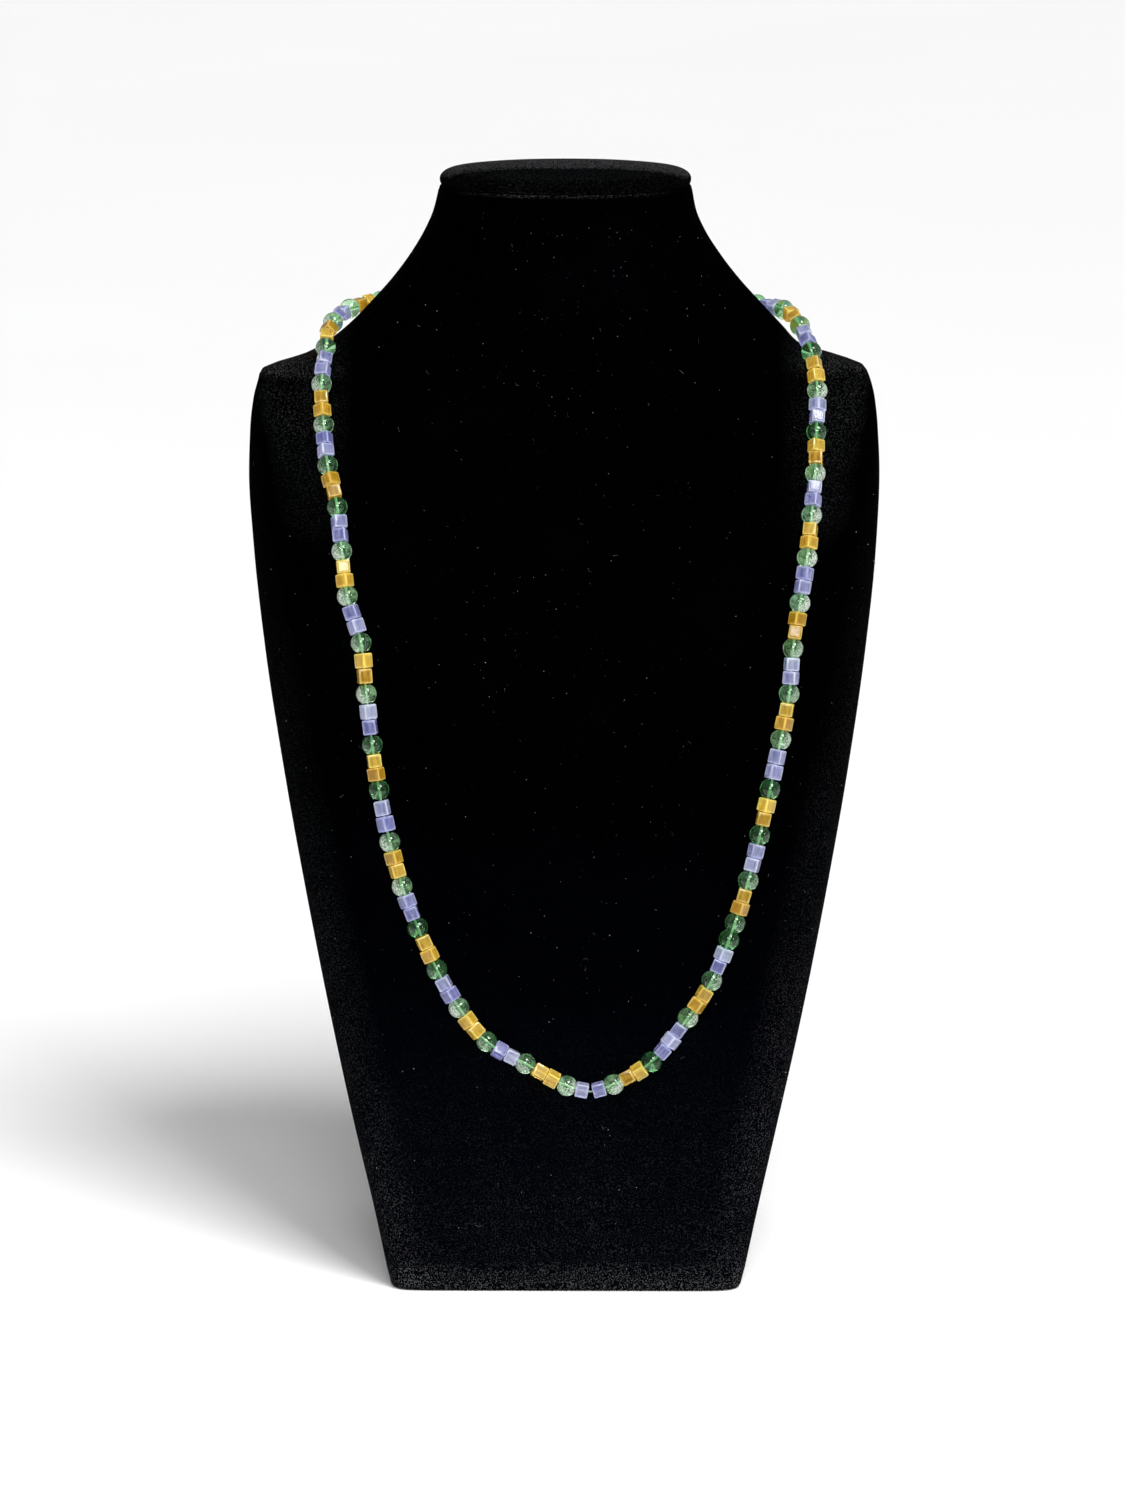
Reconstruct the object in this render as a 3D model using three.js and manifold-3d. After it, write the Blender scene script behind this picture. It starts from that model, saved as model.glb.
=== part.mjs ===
// Beaded necklace hung on a black velvet neck bust.
// Units are millimetres and +Z is up. The bust faces -Y, and +X is on the right of a viewer in front.
// The origin is the middle of the flat base that the bust stands on.

import * as THREE from 'three';
import { mergeVertices } from 'three/addons/utils/BufferGeometryUtils.js';
import Module from 'manifold-3d';

const wasm = await Module();
wasm.setup();

// Sizes of the bust
const bustHeight = 314;
const shoulderHalfWidth = 92.5;
const bustDepth = 92;
const baseEdgeRadius = 1.2;
const neckEdgeRadius = 0.6;
const neckEdgeSteps = 1;
const bustSides = 36;
const fineRingsFrom = 0.8;

// Sizes of the padded cap that closes the neck. Its side is widest at capRimHeight over its bottom.
const capThickness = 4.5;
const capRimHeight = 1.8;
const capSideInset = 0.1;
const capBottomInset = 0.9;
const capTopInset = 4.5;
const capCrown = 1.8;
const capRimSteps = 4;
const capCrownSteps = 3;
const seatGap = 0.3;

// Sizes of the beads, drilled along their length
const roundBeadDiameter = 6;
const roundBeadLength = 5.1;
const roundBeadSides = 10;
const roundBeadBands = 4;
const cubeBeadWidth = 3.9;
const cubeBeadLength = 3.75;
const beadGap = 0.1;
const skinGap = 0.3;

// Sizes of the thread, of the kink at the front and of the clasp at the nape
const threadDiameter = 1.2;
const threadSides = 5;
const kinkBend = THREE.MathUtils.degToRad(16);
const kinkClearance = 0.27;
const claspLength = 12;
const claspBarrelDiameter = 3.9;
const claspEndDiameter = 2.6;
const claspTaper = 1.4;
const claspBandDiameter = 4.4;
const claspBandWidth = 1.8;
const claspSides = 12;
const claspGap = 0.3;

// Room between the two first cubes at the kink, and how far the thread stays off the velvet.
const kinkGap = kinkClearance + cubeBeadWidth * Math.tan(kinkBend);
const widestRadius = Math.max(roundBeadDiameter, cubeBeadWidth * Math.SQRT2, claspBandDiameter) / 2;
const standOff = widestRadius + skinGap;

// Sections of the bust, from the base to the top of the neck.
// height: share of the bust's height. left, right: half widths, shares of the shoulders' half width.
// front, ridge, back: distances along Y, shares of the bust's depth; the ridge is where it is widest.
// frontSquare, backSquare: 2 is an ellipse, and more is nearer to a rectangle.
const sectionColumns = ['height', 'left', 'right', 'front', 'ridge', 'back', 'frontSquare', 'backSquare'];
const bodySections = [
  [0.0000, 0.556, 0.562, -0.500, 0.000, 0.500, 16, 16],
  [0.0670, 0.605, 0.611, -0.485, 0.010, 0.505, 13, 12],
  [0.1463, 0.672, 0.675, -0.467, 0.030, 0.510, 9, 9],
  [0.2404, 0.749, 0.753, -0.440, 0.055, 0.520, 5.5, 6.5],
  [0.3543, 0.828, 0.831, -0.408, 0.092, 0.533, 4.5, 5.5],
  [0.4632, 0.898, 0.898, -0.372, 0.136, 0.549, 3.7, 4.6],
  [0.5771, 0.960, 0.955, -0.330, 0.179, 0.565, 3.1, 4],
  [0.6712, 0.997, 0.988, -0.275, 0.217, 0.576, 2.6, 3.4],
  [0.7356, 1.012, 0.998, -0.205, 0.245, 0.587, 2.1, 3],
  [0.7772, 1.008, 0.992, -0.130, 0.266, 0.596, 1.9, 2.8],
  [0.8049, 0.997, 0.982, -0.060, 0.283, 0.603, 1.8, 2.6],
  [0.8227, 0.981, 0.967, -0.020, 0.294, 0.609, 1.75, 2.5],
  [0.8282, 0.977, 0.959, -0.009, 0.297, 0.611, 1.75, 2.47],
  [0.8326, 0.947, 0.951, 0.000, 0.300, 0.613, 1.75, 2.45],
  [0.8416, 0.847, 0.867, 0.015, 0.307, 0.620, 1.8, 2.4],
  [0.8524, 0.777, 0.749, 0.030, 0.315, 0.627, 1.85, 2.3],
  [0.8703, 0.697, 0.688, 0.055, 0.326, 0.635, 1.95, 2.25],
  [0.8911, 0.626, 0.620, 0.078, 0.341, 0.645, 2.05, 2.2],
  [0.9139, 0.555, 0.548, 0.100, 0.359, 0.656, 2.1, 2.2],
  [0.9356, 0.499, 0.490, 0.115, 0.374, 0.667, 2.1, 2.2],
  [0.9584, 0.452, 0.440, 0.125, 0.386, 0.677, 2.1, 2.2],
  [0.9772, 0.424, 0.412, 0.131, 0.393, 0.684, 2.1, 2.2],
  [1.0000, 0.405, 0.397, 0.135, 0.398, 0.688, 2.1, 2.2],
].map((row) => Object.fromEntries(row.map((value, column) => [sectionColumns[column], value])));

// Route of each half of the string over the bust, from the kink at the lowest point to the nape.
// turn: degrees round the bust from its front, to the right. height: share of the bust's height.
// lift: how far the beads stand off the velvet where the string bridges a hollow, a share of the round bead.
const leftRoute = [
  { turn: 9.3, height: 0.1912, lift: 0 },
  { turn: 1, height: 0.1966, lift: 0 },
  { turn: -13.9, height: 0.2171, lift: 0 },
  { turn: -26.3, height: 0.2376, lift: 0 },
  { turn: -33.9, height: 0.2691, lift: 0 },
  { turn: -39.1, height: 0.3047, lift: 0 },
  { turn: -46.1, height: 0.3811, lift: 0 },
  { turn: -50.3, height: 0.4692, lift: 0 },
  { turn: -52.8, height: 0.5564, lift: 0 },
  { turn: -54.2, height: 0.6021, lift: 0 },
  { turn: -57.4, height: 0.6422, lift: 0 },
  { turn: -59.8, height: 0.6813, lift: 0 },
  { turn: -63.3, height: 0.7188, lift: 0 },
  { turn: -68.1, height: 0.7531, lift: 0 },
  { turn: -72.5, height: 0.7868, lift: 0 },
  { turn: -76.4, height: 0.8167, lift: 0.1 },
  { turn: -80.3, height: 0.8395, lift: 0.17 },
  { turn: -86, height: 0.8592, lift: 0.18 },
  { turn: -96, height: 0.8723, lift: 0.07 },
  { turn: -103, height: 0.8782, lift: 0.05 },
  { turn: -111, height: 0.8802, lift: 0.05 },
  { turn: -130, height: 0.8831, lift: 0.03 },
  { turn: -155, height: 0.8871, lift: 0 },
  { turn: -180, height: 0.8891, lift: 0 },
];
const rightRoute = [
  { turn: 9.3, height: 0.1912, lift: 0 },
  { turn: 17, height: 0.1978, lift: 0 },
  { turn: 28.7, height: 0.2186, lift: 0 },
  { turn: 38, height: 0.2596, lift: 0 },
  { turn: 43.1, height: 0.2939, lift: 0 },
  { turn: 46.5, height: 0.3325, lift: 0 },
  { turn: 49.9, height: 0.386, lift: 0 },
  { turn: 53.7, height: 0.4693, lift: 0 },
  { turn: 57.3, height: 0.5555, lift: 0 },
  { turn: 58.4, height: 0.596, lift: 0 },
  { turn: 62.9, height: 0.6752, lift: 0 },
  { turn: 66.4, height: 0.7137, lift: 0 },
  { turn: 69.9, height: 0.7474, lift: 0 },
  { turn: 73.4, height: 0.7802, lift: 0 },
  { turn: 77.2, height: 0.8124, lift: 0.1 },
  { turn: 79.9, height: 0.8378, lift: 0.12 },
  { turn: 85.7, height: 0.8539, lift: 0.35 },
  { turn: 94.2, height: 0.8723, lift: 0.1 },
  { turn: 103, height: 0.8762, lift: 0.05 },
  { turn: 111, height: 0.8782, lift: 0.05 },
  { turn: 130, height: 0.8822, lift: 0.03 },
  { turn: 155, height: 0.8871, lift: 0 },
  { turn: 180, height: 0.8891, lift: 0 },
];

// Order of the cubes between the round beads, from the kink upwards.
// The usual run is two amber cubes and then two lavender ones; the right half starts with its own runs.
const usualRuns = [
  { colour: 'amber', cubes: 2 },
  { colour: 'lavender', cubes: 2 },
];
const rightFirstRuns = [
  { colour: 'amber', cubes: 2 },
  { colour: 'lavender', cubes: 3 },
  { colour: 'amber', cubes: 2 },
  { colour: 'lavender', cubes: 2 },
  { colour: 'none', cubes: 0 },
];

// Bare thread between one round bead and the next, as a share of a cube's length, spread over the gaps.
const leftSlack = [0.2, 0.02, 0, 0, 0.13, 0, 0.12, 0.68, 0.06, 0.53, 0.51, 0.33, 0.08, 0.12, 0.13];
const rightSlack = [0, 0, 0, 0, 0, 0, 0.2, 0.18, 0.49, 0.14, 0.06, 0.12, 0.11];

// Each cube is rolled about the thread by this much more than the one before it.
const cubeRollStep = THREE.MathUtils.degToRad(37);

const velvet = () => new THREE.MeshStandardMaterial({ color: 0x0a0a0c, roughness: 0.97, metalness: 0 });
const beadGlass = () => new THREE.MeshStandardMaterial({ color: 0x6fae8f, roughness: 0.12, metalness: 0 });
const claspMetal = () => new THREE.MeshStandardMaterial({ color: 0xb9bbbe, roughness: 0.28, metalness: 1 });

// Slope of a section column at one row, which keeps the curve between rows from overshooting.
function rowSlope(column, row) {
  const slope = (first) => {
    const rise = bodySections[first + 1][column] - bodySections[first][column];
    return rise / (bodySections[first + 1].height - bodySections[first].height);
  };
  if (row === 0) return slope(0);
  if (row === bodySections.length - 1) return slope(row - 1);
  const below = slope(row - 1);
  const above = slope(row);
  return below * above <= 0 ? 0 : (2 * below * above) / (below + above);
}

// Smooth value of a section column at any share of the height.
function columnAt(column, height) {
  const last = bodySections.length - 1;
  let row = 0;
  while (row < last - 1 && bodySections[row + 1].height < height) row += 1;
  const low = bodySections[row];
  const high = bodySections[row + 1];
  const span = high.height - low.height;
  const t = (height - low.height) / span;
  const rise = t * t * (3 - 2 * t);
  const startBend = t * (1 - t) * (1 - t) * span;
  const endBend = -t * t * (1 - t) * span;
  const ends = low[column] * (1 - rise) + high[column] * rise;
  return ends + startBend * rowSlope(column, row) + endBend * rowSlope(column, row + 1);
}

// Real sizes of the bust's outline at a share of its height.
function outlineAt(height) {
  return {
    z: bustHeight * height,
    left: shoulderHalfWidth * columnAt('left', height),
    right: shoulderHalfWidth * columnAt('right', height),
    front: bustDepth * columnAt('front', height),
    ridge: bustDepth * columnAt('ridge', height),
    back: bustDepth * columnAt('back', height),
    frontSquare: columnAt('frontSquare', height),
    backSquare: columnAt('backSquare', height),
  };
}

// One ring of points round an outline, moved in by inset and set at height z.
function outlineRing(outline, inset, z) {
  const ring = [];
  for (let side = 0; side < bustSides; side += 1) {
    const angle = (2 * Math.PI * side) / bustSides;
    const across = Math.cos(angle);
    const along = Math.sin(angle);
    const halfWidth = (across > 0 ? outline.right : outline.left) - inset;
    const reach = (along > 0 ? outline.back - outline.ridge : outline.ridge - outline.front) - inset;
    const square = along > 0 ? outline.backSquare : outline.frontSquare;
    const x = Math.sign(across) * halfWidth * Math.abs(across) ** (2 / square);
    const y = outline.ridge + Math.sign(along) * reach * Math.abs(along) ** (2 / square);
    ring.push(new THREE.Vector3(x, y, z));
  }
  return ring;
}

// Middle of a ring's points.
function ringMiddle(ring) {
  const middle = new THREE.Vector3();
  for (const point of ring) middle.add(point);
  return middle.divideScalar(ring.length);
}

// Closed body through rings of equal count, with a flat fan at each end.
function loft(rings) {
  const count = rings[0].length;
  const points = [...rings.flat(), ringMiddle(rings[0]), ringMiddle(rings.at(-1))];
  const bottom = points.length - 2;
  const top = points.length - 1;
  const index = [];
  for (let side = 0; side < count; side += 1) {
    const next = (side + 1) % count;
    index.push(bottom, next, side);
    const start = (rings.length - 1) * count;
    index.push(top, start + side, start + next);
    for (let level = 0; level < rings.length - 1; level += 1) {
      const low = level * count;
      const high = low + count;
      index.push(low + side, low + next, high + next);
      index.push(low + side, high + next, high + side);
    }
  }
  const geometry = new THREE.BufferGeometry().setFromPoints(points);
  geometry.setIndex(index);
  geometry.computeVertexNormals();
  return geometry;
}

// The velvet bust: sections at each row, halfway rows through the shoulders and neck, soft edges.
function bustGeometry() {
  const heights = [];
  bodySections.forEach(({ height }, row) => {
    if (height > fineRingsFrom) heights.push((bodySections[row - 1].height + height) / 2);
    heights.push(height);
  });
  const base = outlineAt(0);
  const neck = outlineAt(1);
  const edgeTop = bustHeight - neckEdgeRadius;
  const rings = [outlineRing(base, baseEdgeRadius, 0), outlineRing(base, 0, baseEdgeRadius)];
  for (const height of heights) {
    const z = bustHeight * height;
    if (z > baseEdgeRadius && z < edgeTop) rings.push(outlineRing(outlineAt(height), 0, z));
  }
  for (let step = 0; step <= neckEdgeSteps; step += 1) {
    const angle = (Math.PI * step) / (2 * neckEdgeSteps);
    const inset = neckEdgeRadius * (1 - Math.cos(angle));
    rings.push(outlineRing(neck, inset, edgeTop + neckEdgeRadius * Math.sin(angle)));
  }
  return loft(rings);
}

// The padded cap: the neck's own outline, a side that rounds in far above and little below, a domed top.
function capGeometry() {
  const neck = outlineAt(1);
  const bottom = bustHeight + seatGap;
  const rings = [];
  for (let step = -capRimSteps; step <= capRimSteps; step += 1) {
    const angle = (Math.PI * step) / (2 * capRimSteps);
    const reach = step < 0 ? capBottomInset : capTopInset;
    const rise = step < 0 ? capRimHeight : capThickness - capRimHeight;
    const inset = capSideInset + reach * (1 - Math.cos(angle));
    rings.push(outlineRing(neck, inset, bottom + capRimHeight + rise * Math.sin(angle)));
  }
  const topReach = neck.ridge - neck.front - capTopInset;
  for (let step = 1; step < capCrownSteps; step += 1) {
    const share = step / capCrownSteps;
    const crown = capCrown * (1 - (1 - share) ** 2);
    rings.push(outlineRing(neck, capTopInset + topReach * share, bottom + capThickness + crown));
  }
  return loft(rings);
}

// Point on the bust's skin at a turn in degrees and a share of the height.
function skinPoint(turn, height) {
  const outline = outlineAt(height);
  const sine = Math.sin(THREE.MathUtils.degToRad(turn));
  const cosine = Math.cos(THREE.MathUtils.degToRad(turn));
  const halfWidth = sine > 0 ? outline.right : outline.left;
  const reach = cosine > 0 ? outline.ridge - outline.front : outline.back - outline.ridge;
  const square = cosine > 0 ? outline.frontSquare : outline.backSquare;
  const sum = Math.abs(sine / halfWidth) ** square + Math.abs(cosine / reach) ** square;
  const radius = sum ** (-1 / square);
  return new THREE.Vector3(radius * sine, outline.ridge - radius * cosine, outline.z);
}

// Point that stands off the skin by a distance, square to it.
function overSkin(turn, height, distance) {
  const turnStep = 0.2;
  const heightStep = 0.001;
  const round = skinPoint(turn + turnStep, height).sub(skinPoint(turn - turnStep, height));
  const up = skinPoint(turn, height + heightStep).sub(skinPoint(turn, height - heightStep));
  const normal = round.cross(up).normalize();
  return skinPoint(turn, height).addScaledVector(normal, distance);
}

// Line of the thread over the bust, where the round beads just clear the velvet.
function threadLine(route) {
  const points = route.map(({ turn, height, lift }) => {
    return overSkin(turn, height, standOff + roundBeadDiameter * lift);
  });
  const line = new THREE.CatmullRomCurve3(points);
  line.arcLengthDivisions = 2000;
  return line;
}

// Beads of one half of the string: what each one is, and how far its middle lies along the line.
function beadOrder(firstRuns, slack, length) {
  const beads = [{ kind: 'lavender', at: (kinkGap + cubeBeadLength) / 2 }];
  let end = kinkGap / 2 + cubeBeadLength;
  const room = length - claspLength / 2 - claspGap;
  const place = (kind, size, gap) => {
    if (end + gap + size > room) return false;
    beads.push({ kind, at: end + gap + size / 2 });
    end += gap + size;
    return true;
  };
  let open = true;
  let gap = beadGap;
  for (let run = 0; open; run += 1) {
    const usual = usualRuns[Math.max(0, run - firstRuns.length) % usualRuns.length];
    const { colour, cubes } = firstRuns[run] ?? usual;
    open = place('round', roundBeadLength, gap);
    gap = beadGap + (cubeBeadLength * (slack[run] ?? 0)) / (cubes + 1);
    for (let cube = 0; open && cube < cubes; cube += 1) open = place(colour, cubeBeadLength, gap);
  }
  return beads;
}

// Round bead, turned about Z: a ball cut flat at both ends of its hole.
function roundBeadGeometry() {
  const radius = roundBeadDiameter / 2;
  const flatAngle = Math.asin(roundBeadLength / roundBeadDiameter);
  const profile = [new THREE.Vector2(0, -roundBeadLength / 2)];
  for (let band = 0; band <= roundBeadBands; band += 1) {
    const angle = flatAngle * ((2 * band) / roundBeadBands - 1);
    profile.push(new THREE.Vector2(radius * Math.cos(angle), radius * Math.sin(angle)));
  }
  profile.push(new THREE.Vector2(0, roundBeadLength / 2));
  return new THREE.LatheGeometry(profile, roundBeadSides);
}

// A closed three.js geometry as a solid that can be joined.
function solidOf(geometry) {
  const bare = geometry.clone();
  bare.deleteAttribute('normal');
  bare.deleteAttribute('uv');
  const merged = mergeVertices(bare, 1e-4);
  const corners = merged.getIndex().array;
  const kept = [];
  for (let first = 0; first < corners.length; first += 3) {
    const [a, b, c] = corners.slice(first, first + 3);
    if (a !== b && b !== c && c !== a) kept.push(a, b, c);
  }
  const mesh = new wasm.Mesh({
    numProp: 3,
    vertProperties: new Float32Array(merged.getAttribute('position').array),
    triVerts: new Uint32Array(kept),
  });
  return new wasm.Manifold(mesh);
}

// A joined solid as a three.js geometry.
function geometryOf(solid) {
  const { vertProperties, triVerts, numProp } = solid.getMesh();
  const points = [];
  for (let start = 0; start < vertProperties.length; start += numProp) {
    points.push(new THREE.Vector3(...vertProperties.slice(start, start + 3)));
  }
  const geometry = new THREE.BufferGeometry().setFromPoints(points);
  geometry.setIndex([...triVerts]);
  geometry.computeVertexNormals();
  return geometry;
}

// Stretch of a line between two lengths along it.
class LineStretch extends THREE.Curve {
  constructor(line, start, end) {
    super();
    this.line = line;
    this.start = start / line.getLength();
    this.end = end / line.getLength();
  }

  getPoint(share, target = new THREE.Vector3()) {
    return this.line.getPointAt(this.start + (this.end - this.start) * share, target);
  }
}

// Thread core of one half, a tube with few sides.
function threadGeometry(line, start, end, steps) {
  const section = new THREE.Shape();
  for (let side = 0; side < threadSides; side += 1) {
    const angle = (2 * Math.PI * side) / threadSides;
    const x = (threadDiameter / 2) * Math.cos(angle);
    const y = (threadDiameter / 2) * Math.sin(angle);
    if (side === 0) section.moveTo(x, y);
    else section.lineTo(x, y);
  }
  section.closePath();
  return new THREE.ExtrudeGeometry(section, { steps, extrudePath: new LineStretch(line, start, end) });
}

// One half of the string: its beads fused on the thread.
function stringGeometry(route, firstRuns, slack) {
  const line = threadLine(route);
  const length = line.getLength();
  const beads = beadOrder(firstRuns, slack, length);
  const roundBead = roundBeadGeometry();
  const cubeBead = new THREE.BoxGeometry(cubeBeadWidth, cubeBeadWidth, cubeBeadLength);
  const holeAxis = new THREE.Vector3(0, 0, 1);
  const threadEnd = length - claspLength / 2 - claspGap;
  let string = solidOf(threadGeometry(line, beads[0].at, threadEnd, beads.length));
  beads.forEach((bead, number) => {
    const geometry = (bead.kind === 'round' ? roundBead : cubeBead).clone();
    const along = line.getTangentAt(bead.at / length);
    geometry.rotateZ(bead.kind === 'round' ? 0 : cubeRollStep * number);
    geometry.applyQuaternion(new THREE.Quaternion().setFromUnitVectors(holeAxis, along));
    const middle = line.getPointAt(bead.at / length);
    geometry.translate(middle.x, middle.y, middle.z);
    string = string.add(solidOf(geometry));
  });
  return geometryOf(string);
}

// Barrel clasp, turned about its own length, with a raised band in the middle.
function claspGeometry() {
  const half = claspLength / 2;
  const endRadius = claspEndDiameter / 2;
  const barrelRadius = claspBarrelDiameter / 2;
  const bandRadius = claspBandDiameter / 2;
  const bandHalf = claspBandWidth / 2;
  const bandStep = bandRadius - barrelRadius;
  const profile = [
    new THREE.Vector2(0, -half),
    new THREE.Vector2(endRadius, -half),
    new THREE.Vector2(barrelRadius, claspTaper - half),
    new THREE.Vector2(barrelRadius, -bandHalf - bandStep),
    new THREE.Vector2(bandRadius, -bandHalf),
    new THREE.Vector2(bandRadius, bandHalf),
    new THREE.Vector2(barrelRadius, bandHalf + bandStep),
    new THREE.Vector2(barrelRadius, half - claspTaper),
    new THREE.Vector2(endRadius, half),
    new THREE.Vector2(0, half),
  ];
  return new THREE.LatheGeometry(profile, claspSides);
}

function namedMesh(name, geometry, material) {
  const mesh = new THREE.Mesh(geometry, material);
  mesh.name = name;
  return mesh;
}

const necklaceOnBust = new THREE.Group();

const display = new THREE.Group();
display.add(namedMesh('neck_bust', bustGeometry(), velvet()));
display.add(namedMesh('neck_cap', capGeometry(), velvet()));
necklaceOnBust.add(display);

const necklace = new THREE.Group();
const leftHalf = stringGeometry(leftRoute, [], leftSlack);
const rightHalf = stringGeometry(rightRoute, rightFirstRuns, rightSlack);
necklace.add(namedMesh('bead_string_left', leftHalf, beadGlass()));
necklace.add(namedMesh('bead_string_right', rightHalf, beadGlass()));
const nape = leftRoute.at(-1);
const clasp = namedMesh('clasp', claspGeometry(), claspMetal());
clasp.rotation.z = Math.PI / 2;
clasp.position.copy(overSkin(nape.turn, nape.height, standOff));
necklace.add(clasp);
necklaceOnBust.add(necklace);

export default necklaceOnBust;
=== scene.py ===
"""Dresses a beaded necklace and the black velvet neck bust that holds it.

The bust faces -Y and stands on its flat base. +X is on the right of a viewer in front, and +Z is up.
Lengths are in metres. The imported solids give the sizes, and the tables hold shares of them.
"""

import logging
import math
import random
from bisect import bisect_left
from collections.abc import Callable
from dataclasses import dataclass, field
from enum import Enum

import bmesh
import bpy
from mathutils import Matrix, Vector


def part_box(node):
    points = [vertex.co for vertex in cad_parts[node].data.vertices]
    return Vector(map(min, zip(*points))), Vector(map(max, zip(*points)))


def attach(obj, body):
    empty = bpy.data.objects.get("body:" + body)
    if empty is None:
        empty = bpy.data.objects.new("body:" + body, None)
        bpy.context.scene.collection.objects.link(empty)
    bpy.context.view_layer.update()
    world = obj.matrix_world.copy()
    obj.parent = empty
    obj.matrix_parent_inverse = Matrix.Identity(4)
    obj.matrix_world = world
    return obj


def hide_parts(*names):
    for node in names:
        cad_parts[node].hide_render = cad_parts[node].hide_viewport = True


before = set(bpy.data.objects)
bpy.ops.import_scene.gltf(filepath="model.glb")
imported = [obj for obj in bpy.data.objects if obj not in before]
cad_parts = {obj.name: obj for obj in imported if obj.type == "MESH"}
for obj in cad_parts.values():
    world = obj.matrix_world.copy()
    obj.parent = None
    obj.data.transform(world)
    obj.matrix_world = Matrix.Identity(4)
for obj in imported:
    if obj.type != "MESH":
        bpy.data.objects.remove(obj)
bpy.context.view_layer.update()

log = logging.getLogger("necklace")

Socket = bpy.types.NodeSocket

MM = 0.001
AXIS_UP = Vector((0.0, 0.0, 1.0))
ROOT_BODY = "root"


class BeadKind(Enum):
    """The three kinds of bead on the thread."""

    ROUND = "round"
    AMBER = "amber"
    LAVENDER = "lavender"


PIECE_NAMES = {
    BeadKind.ROUND: "green_beads",
    BeadKind.AMBER: "amber_cubes",
    BeadKind.LAVENDER: "lavender_cubes",
}


@dataclass(frozen=True)
class Section:
    """One level outline of the bust, as shares of its named sizes.

    The ridge is where the outline is widest. A square of 2 is an ellipse, and more is boxier.
    """

    height: float
    left: float
    right: float
    front: float
    ridge: float
    back: float
    front_square: float
    back_square: float


BODY_SECTIONS = (
    Section(0.0000, 0.556, 0.562, -0.500, 0.000, 0.500, 16, 16),
    Section(0.0670, 0.605, 0.611, -0.485, 0.010, 0.505, 13, 12),
    Section(0.1463, 0.672, 0.675, -0.467, 0.030, 0.510, 9, 9),
    Section(0.2404, 0.749, 0.753, -0.440, 0.055, 0.520, 5.5, 6.5),
    Section(0.3543, 0.828, 0.831, -0.408, 0.092, 0.533, 4.5, 5.5),
    Section(0.4632, 0.898, 0.898, -0.372, 0.136, 0.549, 3.7, 4.6),
    Section(0.5771, 0.960, 0.955, -0.330, 0.179, 0.565, 3.1, 4),
    Section(0.6712, 0.997, 0.988, -0.275, 0.217, 0.576, 2.6, 3.4),
    Section(0.7356, 1.012, 0.998, -0.205, 0.245, 0.587, 2.1, 3),
    Section(0.7772, 1.008, 0.992, -0.130, 0.266, 0.596, 1.9, 2.8),
    Section(0.8049, 0.997, 0.982, -0.060, 0.283, 0.603, 1.8, 2.6),
    Section(0.8227, 0.981, 0.967, -0.020, 0.294, 0.609, 1.75, 2.5),
    Section(0.8282, 0.977, 0.959, -0.009, 0.297, 0.611, 1.75, 2.47),
    Section(0.8326, 0.947, 0.951, 0.000, 0.300, 0.613, 1.75, 2.45),
    Section(0.8416, 0.847, 0.867, 0.015, 0.307, 0.620, 1.8, 2.4),
    Section(0.8524, 0.777, 0.749, 0.030, 0.315, 0.627, 1.85, 2.3),
    Section(0.8703, 0.697, 0.688, 0.055, 0.326, 0.635, 1.95, 2.25),
    Section(0.8911, 0.626, 0.620, 0.078, 0.341, 0.645, 2.05, 2.2),
    Section(0.9139, 0.555, 0.548, 0.100, 0.359, 0.656, 2.1, 2.2),
    Section(0.9356, 0.499, 0.490, 0.115, 0.374, 0.667, 2.1, 2.2),
    Section(0.9584, 0.452, 0.440, 0.125, 0.386, 0.677, 2.1, 2.2),
    Section(0.9772, 0.424, 0.412, 0.131, 0.393, 0.684, 2.1, 2.2),
    Section(1.0000, 0.405, 0.397, 0.135, 0.398, 0.688, 2.1, 2.2),
)


@dataclass(frozen=True)
class RoutePoint:
    """One chosen point of the thread's route over the bust.

    turn is in degrees round the bust from its front, to the right. height is a share of the bust's
    height. lift is how far the beads stand off where the string bridges a hollow, a share of a round bead.
    """

    turn: float
    height: float
    lift: float = 0.0


LEFT_ROUTE = (
    RoutePoint(9.3, 0.1912),
    RoutePoint(1, 0.1966),
    RoutePoint(-13.9, 0.2171),
    RoutePoint(-26.3, 0.2376),
    RoutePoint(-33.9, 0.2691),
    RoutePoint(-39.1, 0.3047),
    RoutePoint(-46.1, 0.3811),
    RoutePoint(-50.3, 0.4692),
    RoutePoint(-52.8, 0.5564),
    RoutePoint(-54.2, 0.6021),
    RoutePoint(-57.4, 0.6422),
    RoutePoint(-59.8, 0.6813),
    RoutePoint(-63.3, 0.7188),
    RoutePoint(-68.1, 0.7531),
    RoutePoint(-72.5, 0.7868),
    RoutePoint(-76.4, 0.8167, 0.1),
    RoutePoint(-80.3, 0.8395, 0.17),
    RoutePoint(-86, 0.8592, 0.18),
    RoutePoint(-96, 0.8723, 0.07),
    RoutePoint(-103, 0.8782, 0.05),
    RoutePoint(-111, 0.8802, 0.05),
    RoutePoint(-130, 0.8831, 0.03),
    RoutePoint(-155, 0.8871),
    RoutePoint(-180, 0.8891),
)
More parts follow.
